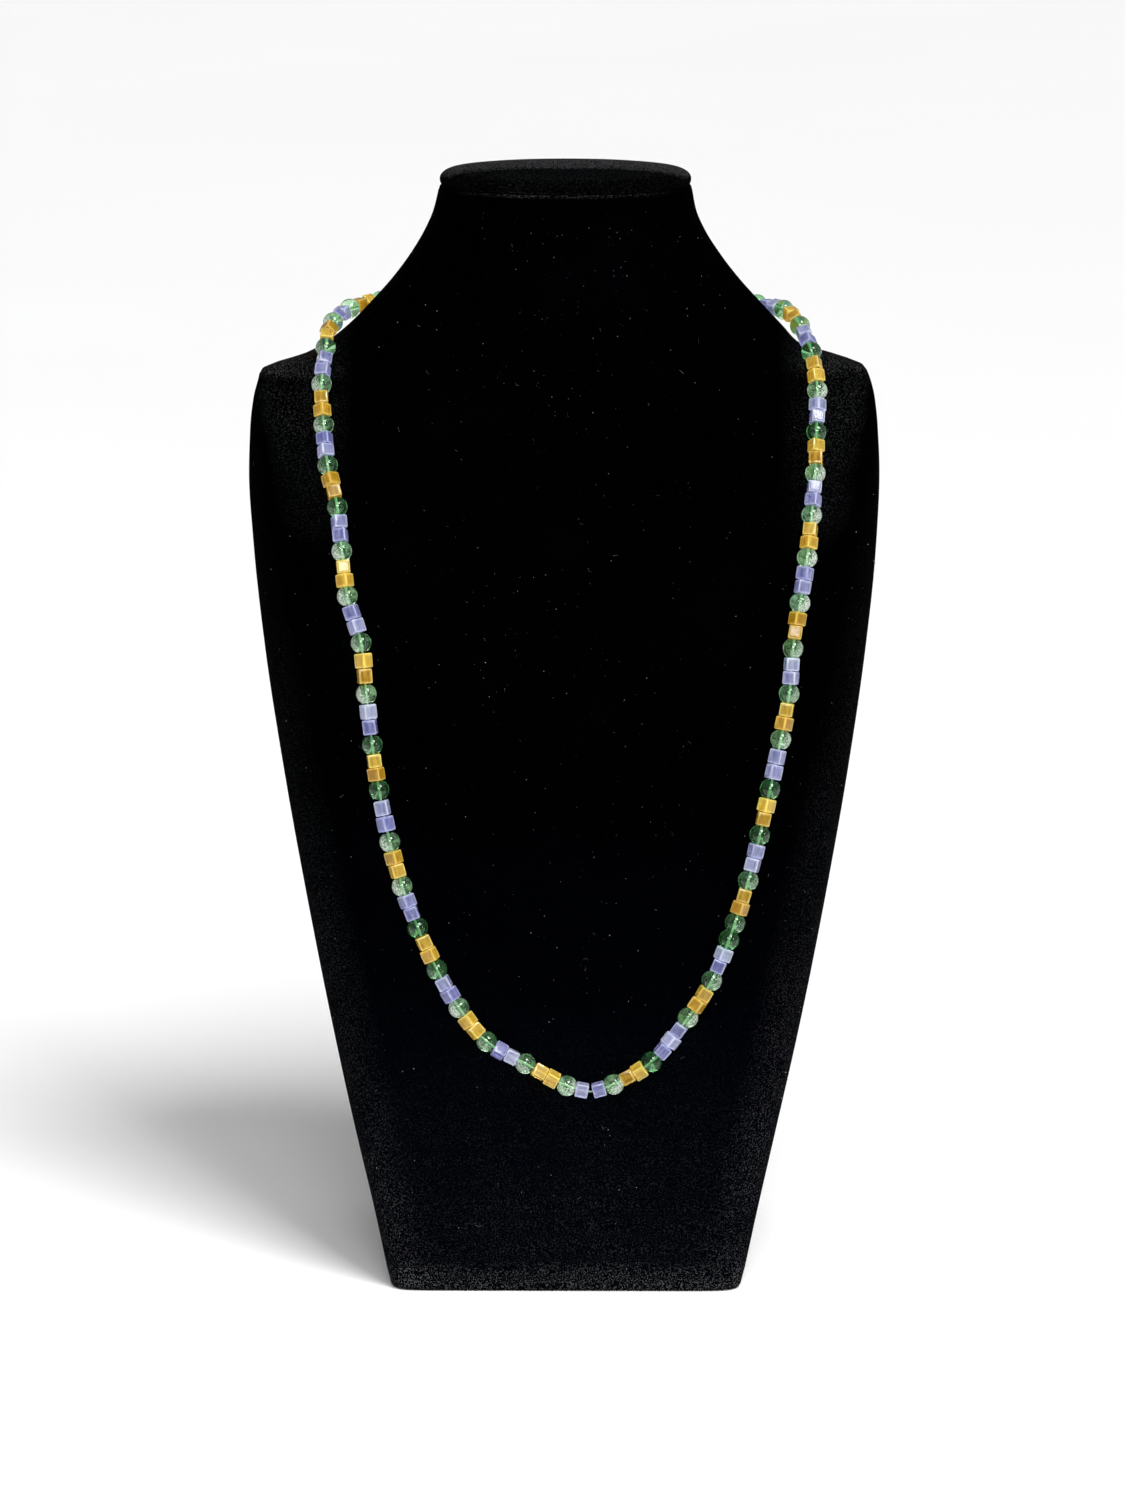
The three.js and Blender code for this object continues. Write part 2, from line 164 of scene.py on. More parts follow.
RIGHT_ROUTE = (
    RoutePoint(9.3, 0.1912),
    RoutePoint(17, 0.1978),
    RoutePoint(28.7, 0.2186),
    RoutePoint(38, 0.2596),
    RoutePoint(43.1, 0.2939),
    RoutePoint(46.5, 0.3325),
    RoutePoint(49.9, 0.386),
    RoutePoint(53.7, 0.4693),
    RoutePoint(57.3, 0.5555),
    RoutePoint(58.4, 0.596),
    RoutePoint(62.9, 0.6752),
    RoutePoint(66.4, 0.7137),
    RoutePoint(69.9, 0.7474),
    RoutePoint(73.4, 0.7802),
    RoutePoint(77.2, 0.8124, 0.1),
    RoutePoint(79.9, 0.8378, 0.12),
    RoutePoint(85.7, 0.8539, 0.35),
    RoutePoint(94.2, 0.8723, 0.1),
    RoutePoint(103, 0.8762, 0.05),
    RoutePoint(111, 0.8782, 0.05),
    RoutePoint(130, 0.8822, 0.03),
    RoutePoint(155, 0.8871),
    RoutePoint(180, 0.8891),
)


@dataclass(frozen=True)
class CubeRun:
    """The cubes between one round bead and the next."""

    kind: BeadKind
    cubes: int


USUAL_RUNS = (CubeRun(BeadKind.AMBER, 2), CubeRun(BeadKind.LAVENDER, 2))
RIGHT_FIRST_RUNS = (
    CubeRun(BeadKind.AMBER, 2),
    CubeRun(BeadKind.LAVENDER, 3),
    CubeRun(BeadKind.AMBER, 2),
    CubeRun(BeadKind.LAVENDER, 2),
    CubeRun(BeadKind.AMBER, 0),
)

# Bare thread between one round bead and the next, as a share of a cube's length, spread over the gaps.
LEFT_SLACK = (0.2, 0.02, 0, 0, 0.13, 0, 0.12, 0.68, 0.06, 0.53, 0.51, 0.33, 0.08, 0.12, 0.13)
RIGHT_SLACK = (0, 0, 0, 0, 0, 0, 0.2, 0.18, 0.49, 0.14, 0.06, 0.12, 0.11)


class NodeBoard:
    """A material's nodes, with short ways to add and join them."""

    def __init__(self, name: str) -> None:
        """Starts an empty node tree in a new material of that name.

        Args:
            name: The material's name.
        """
        self.material = bpy.data.materials.new(name)
        self.material.use_nodes = True
        self.tree = self.material.node_tree
        self.tree.nodes.clear()

    def add(self, kind: str, inputs: dict | None = None, **options: object) -> bpy.types.Node:
        """Adds a node.

        Args:
            kind: The node's type.
            inputs: A plain value, or another node's output, for each named or numbered input.
            options: The node's own settings.

        Returns:
            The new node.
        """
        node = self.tree.nodes.new(kind)
        for option, value in options.items():
            setattr(node, option, value)
        for socket, value in (inputs or {}).items():
            if isinstance(value, Socket):
                self.tree.links.new(value, node.inputs[socket])
            else:
                node.inputs[socket].default_value = value
        return node

    def place(self) -> Socket:
        """Returns the object coordinates, in metres."""
        return self.add("ShaderNodeTexCoord").outputs["Object"]

    def along(self, axis: str) -> Socket:
        """Returns how far a place lies along an axis, in metres."""
        return self.add("ShaderNodeSeparateXYZ", {0: self.place()}).outputs[axis]

    def facing(self, axis: str) -> Socket:
        """Returns how far the surface faces along an axis, from -1 to 1."""
        normal = self.add("ShaderNodeTexCoord").outputs["Normal"]
        return self.add("ShaderNodeSeparateXYZ", {0: normal}).outputs[axis]

    def noise(self, size: float, detail: float = 2.0) -> Socket:
        """Adds a noise over the object coordinates.

        Args:
            size: How wide its grains are, in metres.
            detail: How many finer layers it has.

        Returns:
            Its value, from 0 to 1.
        """
        inputs = {"Vector": self.place(), "Scale": 1.0 / size, "Detail": detail}
        return self.add("ShaderNodeTexNoise", inputs).outputs["Fac"]

    def streaks(self, size: float, stretch: float) -> Socket:
        """Adds streaks that run along the hole of each bead, different in every bead.

        Args:
            size: How wide the streaks are, in metres.
            stretch: How many times longer they are.

        Returns:
            Their value, from 0 to 1.
        """
        own_place = self.add("ShaderNodeAttribute", attribute_name="bead_place").outputs["Vector"]
        shares = (1.0, 1.0, 1.0 / stretch)
        drawn = self.add("ShaderNodeVectorMath", {0: own_place, 1: shares}, operation="MULTIPLY")
        start = self.sum("MULTIPLY", self.attribute("bead_tone"), 40.0)
        inputs = {"Vector": drawn.outputs[0], "W": start, "Scale": 1.0 / size, "Detail": 2.0}
        return self.add("ShaderNodeTexNoise", inputs, noise_dimensions="4D").outputs["Fac"]

    def attribute(self, name: str) -> Socket:
        """Returns the value of a number that the mesh carries."""
        return self.add("ShaderNodeAttribute", attribute_name=name).outputs["Fac"]

    def span(
        self, value: Socket, low: float, high: float, start: float = 0.0, end: float = 1.0
    ) -> Socket:
        """Maps a value from one span to another, and stops at both ends.

        Args:
            value: What is mapped.
            low: The value that gives start.
            high: The value that gives end.
            start: The result's first end.
            end: The result's second end.

        Returns:
            The mapped value.
        """
        inputs = {"Value": value, "From Min": low, "From Max": high, "To Min": start, "To Max": end}
        return self.add("ShaderNodeMapRange", inputs).outputs["Result"]

    def sum(self, operation: str, first: object, second: object) -> Socket:
        """Works out two values.

        Args:
            operation: The sum's kind, such as ADD or MULTIPLY.
            first: A number or an output.
            second: A number or an output.

        Returns:
            The result.
        """
        return self.add("ShaderNodeMath", {0: first, 1: second}, operation=operation).outputs[0]

    def blend(self, share: object, first: object, second: object) -> Socket:
        """Mixes two colours.

        Args:
            share: How much of the second, from 0 to 1.
            first: A colour or an output.
            second: A colour or an output.

        Returns:
            The mixed colour.
        """
        inputs = {"Factor": share, 6: first, 7: second}
        return self.add("ShaderNodeMix", inputs, data_type="RGBA").outputs[2]

    def bump(self, height: Socket, depth: float, strength: float = 1.0) -> Socket:
        """Turns a height into a bumpy normal.

        Args:
            height: The height, from 0 to 1.
            depth: How deep it is, in metres.
            strength: How strongly it shows.

        Returns:
            The normal.
        """
        inputs = {"Height": height, "Distance": depth, "Strength": strength}
        return self.add("ShaderNodeBump", inputs).outputs["Normal"]

    def finish(self, shader: Socket) -> bpy.types.Material:
        """Puts a shader on the output and returns the material."""
        self.add("ShaderNodeOutputMaterial", {"Surface": shader})
        return self.material


@dataclass(frozen=True)
class VelvetFinish:
    """Black velvet, with painted sheen and painted bounce light that make its pile paler by the base, on the
    sides, on the shoulders and on the cap.
    """

    name: str = "black_velvet"
    deep: tuple = (0.0001, 0.0001, 0.00015, 1.0)
    brushed: tuple = (0.00025, 0.0003, 0.0005, 1.0)
    painted_sheen_grey: tuple = (0.058, 0.0585, 0.06, 1.0)
    navy: tuple = (0.0003, 0.0005, 0.0013, 1.0)
    sheen_tint: tuple = (0.55, 0.6, 0.72, 1.0)
    sheen_weight: float = 0.004
    sheen_roughness: float = 0.38
    pile_size: float = 0.42 * MM
    pile_depth: float = 0.2 * MM
    nap_size: float = 34 * MM
    navy_top: float = 150 * MM
    navy_full: float = 40 * MM
    # Painted floor bounce light, paler towards the base and most at the foot.
    bounce_height: float = 110 * MM
    bounce_falloff: float = 1.9
    bounce_share: float = 0.029
    foot_height: float = 9 * MM
    foot_share: float = 0.1
    # Painted sheen along the bust's sides, stronger low down.
    side_lean: float = 0.225
    side_from: float = 36 * MM
    side_to: float = 52 * MM
    side_reach: float = 240 * MM
    side_share: float = 0.068
    high_side_share: float = 0.015
    # Painted light on the up-facing outer shoulders.
    shoulder_from: float = 62 * MM
    shoulder_to: float = 88 * MM
    shoulder_share: float = 0.15
    # Painted sheen on the cap, paler on its top and most at its back.
    cap_bottom: float = 314 * MM
    cap_share: float = 0.013
    cap_top_share: float = 0.03
    cap_back_share: float = 1.0
    cap_back_from: float = 26 * MM
    cap_back_to: float = 42 * MM
    # A painted highlight along the seam under the cap, near the middle.
    seam_width: float = 1.0 * MM
    seam_reach: float = 34 * MM
    seam_share: float = 0.11

    def body_painted_light(self, board: NodeBoard) -> Socket:
        """Works out the painted light on the bust: painted floor bounce low down and at the foot, and
        painted sheen on the sides and the up-facing shoulders.

        Args:
            board: The material's nodes.

        Returns:
            The dust's share, from 0 up.
        """
        height = board.along("Z")
        across = board.sum("ABSOLUTE", board.along("X"), 0.0)
        # Painted floor bounce: paler towards the base, and more at the foot.
        low = board.sum("POWER", board.span(height, self.bounce_height, 0.0), self.bounce_falloff)
        low = board.sum("MULTIPLY", low, self.bounce_share)
        foot = board.span(height, self.foot_height, self.foot_height * 0.2, 0.0, self.foot_share)
        # Painted sheen near the sides, stronger low down.
        near_side = board.sum("SUBTRACT", across, board.sum("MULTIPLY", height, self.side_lean))
        side_share = board.span(height, self.side_reach, 0.0, self.high_side_share, self.side_share)
        sides = board.sum("MULTIPLY", board.span(near_side, self.side_from, self.side_to), side_share)
        # Painted light on the outer shoulders where they face up.
        outer = board.span(across, self.shoulder_from, self.shoulder_to, 0.0, self.shoulder_share)
        shoulders = board.sum("MULTIPLY", outer, board.span(board.facing("Z"), 0.3, 0.8))
        return board.sum("ADD", board.sum("ADD", low, foot), board.sum("ADD", sides, shoulders))

    def cap_painted_light(self, board: NodeBoard) -> Socket:
        """Works out the painted sheen on the cap, most at its back, and a painted highlight along the seam
        under it.

        Args:
            board: The material's nodes.

        Returns:
            The dust's share, from 0 up.
        """
        height = board.along("Z")
        up = board.facing("Z")
        # Painted sheen: paler where the cap faces up, and most at its back.
        top = board.span(up, 0.8, 0.98, self.cap_share, self.cap_top_share)
        far = board.span(board.along("Y"), self.cap_back_from, self.cap_back_to, 0.0, self.cap_back_share)
        far = board.sum("MULTIPLY", far, board.span(up, 0.4, 0.9))
        on_cap = board.span(height, self.cap_bottom, self.cap_bottom + MM)
        cap = board.sum("MULTIPLY", on_cap, board.sum("ADD", top, far))
        # A painted highlight along the seam under the cap, near the middle.
        off_seam = board.sum("ABSOLUTE", board.sum("SUBTRACT", height, self.cap_bottom), 0.0)
        across = board.sum("ABSOLUTE", board.along("X"), 0.0)
        middle = board.span(across, self.seam_reach, self.seam_reach / 3, 0.0, self.seam_share)
        seam = board.sum("MULTIPLY", board.span(off_seam, self.seam_width, 0.0), middle)
        return board.sum("ADD", cap, seam)

    def material(self) -> bpy.types.Material:
        """Builds the velvet: a fine pile, a nap that varies from place to place, and the painted sheen and
        bounce light on it.

        Returns:
            The material.
        """
        board = NodeBoard(self.name)
        pile = board.noise(self.pile_size, 2.0)
        lie = board.span(board.noise(self.nap_size, 5.0), 0.4, 0.7)
        colour = board.blend(lie, self.deep, self.brushed)
        low = board.span(board.along("Z"), self.navy_top, self.navy_full)
        colour = board.blend(low, colour, self.navy)
        patches = board.span(board.noise(self.nap_size / 2, 3.0), 0.3, 0.7, 0.7, 1.3)
        grain = board.sum("MULTIPLY", board.span(pile, 0.52, 0.7, 0.0, 9.0), patches)
        # The painted sheen and bounce light pale the velvet towards a grey, through its grain.
        painted_light = board.sum("ADD", self.body_painted_light(board), self.cap_painted_light(board))
        inputs = {
            "Base Color": board.blend(board.sum("MULTIPLY", painted_light, grain), colour, self.painted_sheen_grey),
            "Roughness": 1.0,
            "Specular IOR Level": 0.0,
            "Sheen Weight": self.sheen_weight,
            "Sheen Roughness": self.sheen_roughness,
            "Sheen Tint": self.sheen_tint,
            "Normal": board.bump(pile, self.pile_depth, 0.7),
        }
        return board.finish(board.add("ShaderNodeBsdfPrincipled", inputs).outputs[0])


@dataclass(frozen=True)
class GlassFinish:
    """Translucent bead glass, with a tone and streaks of its own in each bead."""

    name: str
    deep: tuple
    pale: tuple
    edge: tuple
    lamp_tint: tuple
    transmission: float
    edge_transmission: float = 0.2
    roughness: float = 0.02
    ior: float = 1.5
    gloss: float = 0.5
    scatter: float = 0.0
    # Painted caustic glow: light that a bead would focus, painted as a paler, less clear share low on its
    # outer side.
    scatter_reach: float = 2.0 * MM
    painted_caustic: float = 0.0
    painted_caustic_low: float = 0.5
    painted_caustic_outward: float = 0.8
    painted_caustic_paleness: float = 0.0
    speckle_size: float = 0.4 * MM
    streak_size: float = 0.55 * MM
    streak_stretch: float = 5.0
    streak_share: float = 0.4
    edge_share: float = 0.8

    def painted_caustic_share(self, board: NodeBoard) -> Socket:
        """Works out the painted caustic glow: a paler, less clear share of the glass, most low on its outer
        side, speckled and stronger in some beads.

        Args:
            board: The material's nodes.

        Returns:
            The milky share, from 0 up.
        """
        # Facing down and facing outwards, where a real bead gathers the lamps' light.
        outward = board.sum("MULTIPLY", board.facing("X"), board.sum("SIGN", board.along("X"), 0.0))
        low = board.sum("MULTIPLY", board.facing("Z"), -self.painted_caustic_low)
        toward = board.sum("ADD", low, board.sum("MULTIPLY", outward, self.painted_caustic_outward))
        speckle = board.span(board.noise(self.speckle_size, 1.0), 0.35, 0.65, 0.2, 1.8)
        in_bead = board.span(board.attribute("bead_tone"), 0.1, 0.9, 0.1, 1.7)
        caustic_glow = board.sum("MULTIPLY", board.span(toward, -0.2, 0.4, 0.0, self.painted_caustic), speckle)
        return board.sum("MULTIPLY", caustic_glow, in_bead)

    def material(self) -> bpy.types.Material:
        """Builds the glass: streaked colour, a painted caustic glow, paler edges and hole, and lamps that
        shine through it.

        Returns:
            The material.
        """
        board = NodeBoard(self.name)
        drawn = board.streaks(self.streak_size, self.streak_stretch)
        drift = board.span(drawn, 0.3, 0.7, -self.streak_share / 2, self.streak_share / 2)
        tone = board.sum("ADD", board.attribute("bead_tone"), drift)
        # A painted caustic glow, which lowers the transmission and pales the body.
        caustic_glow = self.painted_caustic_share(board)
        body = board.blend(board.span(tone, 0.0, 1.0), self.deep, self.pale)
        body = board.blend(board.sum("MULTIPLY", caustic_glow, self.painted_caustic_paleness), body, self.edge)
        # The cubes' paler, less clear edges are partly frosted glass and partly a painted highlight for
        # light on their rounded bevels; the hole's share is its frosted wall.
        edge = board.attribute("bead_edge")
        clear = board.sum("SUBTRACT", self.transmission, caustic_glow)
        clear = board.add("ShaderNodeMix", {0: edge, 2: clear, 3: self.edge_transmission}).outputs[0]
        inputs = {
            "Base Color": board.blend(board.sum("MULTIPLY", edge, self.edge_share), body, self.edge),
            "Roughness": self.roughness,
            "IOR": self.ior,
            "Specular IOR Level": self.gloss,
            "Transmission Weight": clear,
            "Subsurface Weight": self.scatter,
            "Subsurface Scale": self.scatter_reach,
            "Subsurface Radius": (1.0, 1.0, 1.0),
        }
        glass = board.add("ShaderNodeBsdfPrincipled", inputs)
        passed = board.add("ShaderNodeBsdfTransparent", {"Color": self.lamp_tint})
        lamp = board.add("ShaderNodeLightPath").outputs["Is Shadow Ray"]
        mixed = board.add("ShaderNodeMixShader", {0: lamp, 1: glass.outputs[0], 2: passed.outputs[0]})
        return board.finish(mixed.outputs[0])


@dataclass(frozen=True)
class ThreadFinish:
    """Clear nylon thread."""

    name: str = "nylon_thread"
    colour: tuple = (0.28, 0.42, 0.26, 1.0)
    worn: tuple = (0.19, 0.29, 0.18, 1.0)

    def material(self) -> bpy.types.Material:
        """Builds the thread: pale, half gloss, with faint darker stretches.

        Returns:
            The material.
        """
        board = NodeBoard(self.name)
        tone = board.span(board.noise(4 * MM, 3.0), 0.35, 0.7)
        inputs = {
            "Base Color": board.blend(tone, self.colour, self.worn),
            "Roughness": 0.35,
            "Transmission Weight": 0.25,
        }
        return board.finish(board.add("ShaderNodeBsdfPrincipled", inputs).outputs[0])


@dataclass(frozen=True)
class MetalFinish:
    """Polished silver-coloured metal with faint scratches."""

    name: str = "clasp_metal"
    colour: tuple = (0.74, 0.75, 0.77, 1.0)
    dull: tuple = (0.55, 0.56, 0.58, 1.0)

    def material(self) -> bpy.types.Material:
        """Builds the metal.

        Returns:
            The material.
        """
        board = NodeBoard(self.name)
        wear = board.span(board.noise(0.8 * MM, 4.0), 0.4, 0.75)
        inputs = {
            "Base Color": board.blend(wear, self.colour, self.dull),
            "Metallic": 1.0,
            "Roughness": board.span(wear, 0.0, 1.0, 0.16, 0.34),
            "Normal": board.bump(board.noise(0.25 * MM, 2.0), 0.01 * MM, 0.4),
        }
        return board.finish(board.add("ShaderNodeBsdfPrincipled", inputs).outputs[0])


@dataclass(frozen=True)
class LintFinish:
    """Pale grey fluff that clings to velvet."""

    name: str = "pale_lint"
    light: tuple = (0.26, 0.27, 0.3, 1.0)
    dark: tuple = (0.03, 0.03, 0.034, 1.0)

    def material(self) -> bpy.types.Material:
        """Builds the lint, lighter in some places than in others.

        Returns:
            The material.
        """
        board = NodeBoard(self.name)
        tone = board.span(board.noise(9 * MM, 2.0), 0.35, 0.65)
        inputs = {"Base Color": board.blend(tone, self.dark, self.light), "Roughness": 0.9}
        return board.finish(board.add("ShaderNodeBsdfPrincipled", inputs).outputs[0])


@dataclass(frozen=True)
class FloorFinish:
    """Plain matt white floor."""

    name: str = "white_floor"
    colour: tuple = (0.96, 0.96, 0.96, 1.0)
    faint: tuple = (0.945, 0.945, 0.945, 1.0)

    def material(self) -> bpy.types.Material:
        """Builds the floor's white.

        Returns:
            The material.
        """
        board = NodeBoard(self.name)
        tone = board.span(board.noise(0.4, 2.0), 0.3, 0.7)
        inputs = {"Base Color": board.blend(tone, self.colour, self.faint), "Roughness": 0.95}
        return board.finish(board.add("ShaderNodeBsdfPrincipled", inputs).outputs[0])


def deselect_all() -> None:
    """Leaves edit mode and deselects every object."""
    if bpy.context.mode != "OBJECT":
        bpy.ops.object.mode_set(mode="OBJECT")
    bpy.ops.object.select_all(action="DESELECT")


def pick(*objects: bpy.types.Object) -> None:
    """Selects these objects alone, and makes the first one active.

    Args:
        objects: The objects.
    """
    deselect_all()
    for chosen in objects:
        chosen.select_set(True)
    bpy.context.view_layer.objects.active = objects[0]


def new_object(name: str, mesh: bpy.types.Mesh) -> bpy.types.Object:
    """Puts a mesh in the scene under a name and returns its object.

    Args:
        name: The name of both.
        mesh: The mesh.

    Returns:
        The new object.
    """
    mesh.name = name
    made = bpy.data.objects.new(name, mesh)
    bpy.context.scene.collection.objects.link(made)
    return made


def smooth(piece: bpy.types.Object, degrees: float) -> None:
    """Shades a piece smooth, apart from edges sharper than an angle in degrees."""
    pick(piece)
    bpy.ops.object.shade_smooth_by_angle(angle=math.radians(degrees))


def dress(piece: bpy.types.Object, material: bpy.types.Material) -> None:
    """Gives a piece one material all over."""
    piece.data.materials.clear()
    piece.data.materials.append(material)


def settle(piece: bpy.types.Object, replaced: str | None) -> None:
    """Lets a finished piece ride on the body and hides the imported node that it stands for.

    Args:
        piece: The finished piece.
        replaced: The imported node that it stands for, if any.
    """
    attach(piece, ROOT_BODY)
    if replaced:
        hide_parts(replaced)
    log.info("%s: %d faces", piece.name, len(piece.data.polygons))


def ring_body(name: str, rings: list[list[Vector]]) -> bpy.types.Object:
    """Grows a closed body ring by ring, from a circle that is extruded and shaped each time.

    Args:
        name: The new object's name.
        rings: Rings with the same number of points, from one end of the body to the other.

    Returns:
        The body, with both ends filled and its faces outwards.
    """
    deselect_all()
    bpy.ops.mesh.primitive_circle_add(vertices=len(rings[0]), radius=1.0, fill_type="NOTHING")
    body = bpy.context.active_object
    body.name = name
    body.data.name = name
    bpy.ops.object.mode_set(mode="EDIT")
    bpy.ops.mesh.select_mode(type="VERT")
    bpy.ops.mesh.select_all(action="SELECT")
    shape = bmesh.from_edit_mesh(body.data)
    side = shape.verts.layers.int.new("side")
    for number, corner in enumerate(shape.verts):
        corner[side] = number
    for level, ring in enumerate(rings):
        if level:
            bpy.ops.mesh.extrude_region_move()
        shape = bmesh.from_edit_mesh(body.data)
        side = shape.verts.layers.int["side"]
        for corner in shape.verts:
            if corner.select:
                corner.co = ring[corner[side]]
        bmesh.update_edit_mesh(body.data)
    shape = bmesh.from_edit_mesh(body.data)
    shape.verts.layers.int.remove(shape.verts.layers.int["side"])
    bmesh.update_edit_mesh(body.data)
    bpy.ops.mesh.select_all(action="SELECT")
    bpy.ops.mesh.fill_holes(sides=0)
    bpy.ops.mesh.normals_make_consistent(inside=False)
    bpy.ops.object.mode_set(mode="OBJECT")
    return body


@dataclass(frozen=True)
class Outline:
    """A level outline of the bust at its real size."""

    z: float
    left: float
    right: float
    front: float
    ridge: float
    back: float
    front_square: float
    back_square: float

    def ring(self, sides: int, inset: float, z: float) -> list[Vector]:
        """Gives points round the outline.

        Args:
            sides: How many points.
            inset: How far they are moved in.
            z: Their height.

        Returns:
            The points, from the right side round by the back.
        """
        points = []
        for side in range(sides):
            angle = 2 * math.pi * side / sides
            across = math.cos(angle)
            along = math.sin(angle)
            half = (self.right if across > 0 else self.left) - inset
            reach = (self.back - self.ridge if along > 0 else self.ridge - self.front) - inset
            square = self.back_square if along > 0 else self.front_square
            x = math.copysign(half * abs(across) ** (2 / square), across)
            y = self.ridge + math.copysign(reach * abs(along) ** (2 / square), along)
            points.append(Vector((x, y, z)))
        return points


@dataclass(frozen=True)
class BustForm:
    """The smooth form of the bust, from its three driving sizes and the table of sections."""

    height: float
    half_width: float
    depth: float

    def slope(self, column: str, row: int) -> float:
        """Gives the slope of a column at one row, low enough for no bulge between rows.

        Args:
            column: The column's name.
            row: The row's number.

        Returns:
            The slope, for each whole height.
        """

        def between(first: int) -> float:
            """Gives the straight slope from one row to the next."""
            low, high = BODY_SECTIONS[first], BODY_SECTIONS[first + 1]
            return (getattr(high, column) - getattr(low, column)) / (high.height - low.height)

        if row == 0:
            return between(0)
        if row == len(BODY_SECTIONS) - 1:
            return between(row - 1)
        below, above = between(row - 1), between(row)
        return 0.0 if below * above <= 0 else 2 * below * above / (below + above)

    def value(self, column: str, share: float) -> float:
        """Gives a column's smooth value at a share of the height.

        Args:
            column: The column's name.
            share: The share of the height.

        Returns:
            The value.
        """
        last = len(BODY_SECTIONS) - 1
        row = 0
        while row < last - 1 and BODY_SECTIONS[row + 1].height < share:
            row += 1
        low, high = BODY_SECTIONS[row], BODY_SECTIONS[row + 1]
        step = high.height - low.height
        t = (share - low.height) / step
        rise = t * t * (3 - 2 * t)
        start = t * (1 - t) * (1 - t) * step * self.slope(column, row)
        end = -t * t * (1 - t) * step * self.slope(column, row + 1)
        return getattr(low, column) * (1 - rise) + getattr(high, column) * rise + start + end

    def outline(self, share: float) -> Outline:
        """Gives the outline at a share of the height.

        Args:
            share: The share of the height.

        Returns:
            The outline.
        """
        return Outline(
            z=self.height * share,
            left=self.half_width * self.value("left", share),
            right=self.half_width * self.value("right", share),
            front=self.depth * self.value("front", share),
            ridge=self.depth * self.value("ridge", share),
            back=self.depth * self.value("back", share),
            front_square=self.value("front_square", share),
            back_square=self.value("back_square", share),
        )

    def skin(self, turn: float, share: float) -> Vector:
        """Gives the point on the skin at a turn in degrees and a share of the height.

        Args:
            turn: The turn from the front to the right.
            share: The share of the height.

        Returns:
            The point.
        """
        outline = self.outline(share)
        sine = math.sin(math.radians(turn))
        cosine = math.cos(math.radians(turn))
        half = outline.right if sine > 0 else outline.left
        reach = outline.ridge - outline.front if cosine > 0 else outline.back - outline.ridge
        square = outline.front_square if cosine > 0 else outline.back_square
        total = abs(sine / half) ** square + abs(cosine / reach) ** square
        radius = total ** (-1 / square)
        return Vector((radius * sine, outline.ridge - radius * cosine, outline.z))

    def normal(self, turn: float, share: float) -> Vector:
        """Gives the direction straight out of the skin.

        Args:
            turn: The turn from the front to the right, in degrees.
            share: The share of the height.

        Returns:
            The direction.
        """
        turn_step, share_step = 0.2, 0.001
        around = self.skin(turn + turn_step, share) - self.skin(turn - turn_step, share)
        up = self.skin(turn, share + share_step) - self.skin(turn, share - share_step)
        return around.cross(up).normalized()

    def over(self, turn: float, share: float, distance: float) -> Vector:
        """Gives the point that stands off the skin by a distance."""
        return self.skin(turn, share) + self.normal(turn, share) * distance


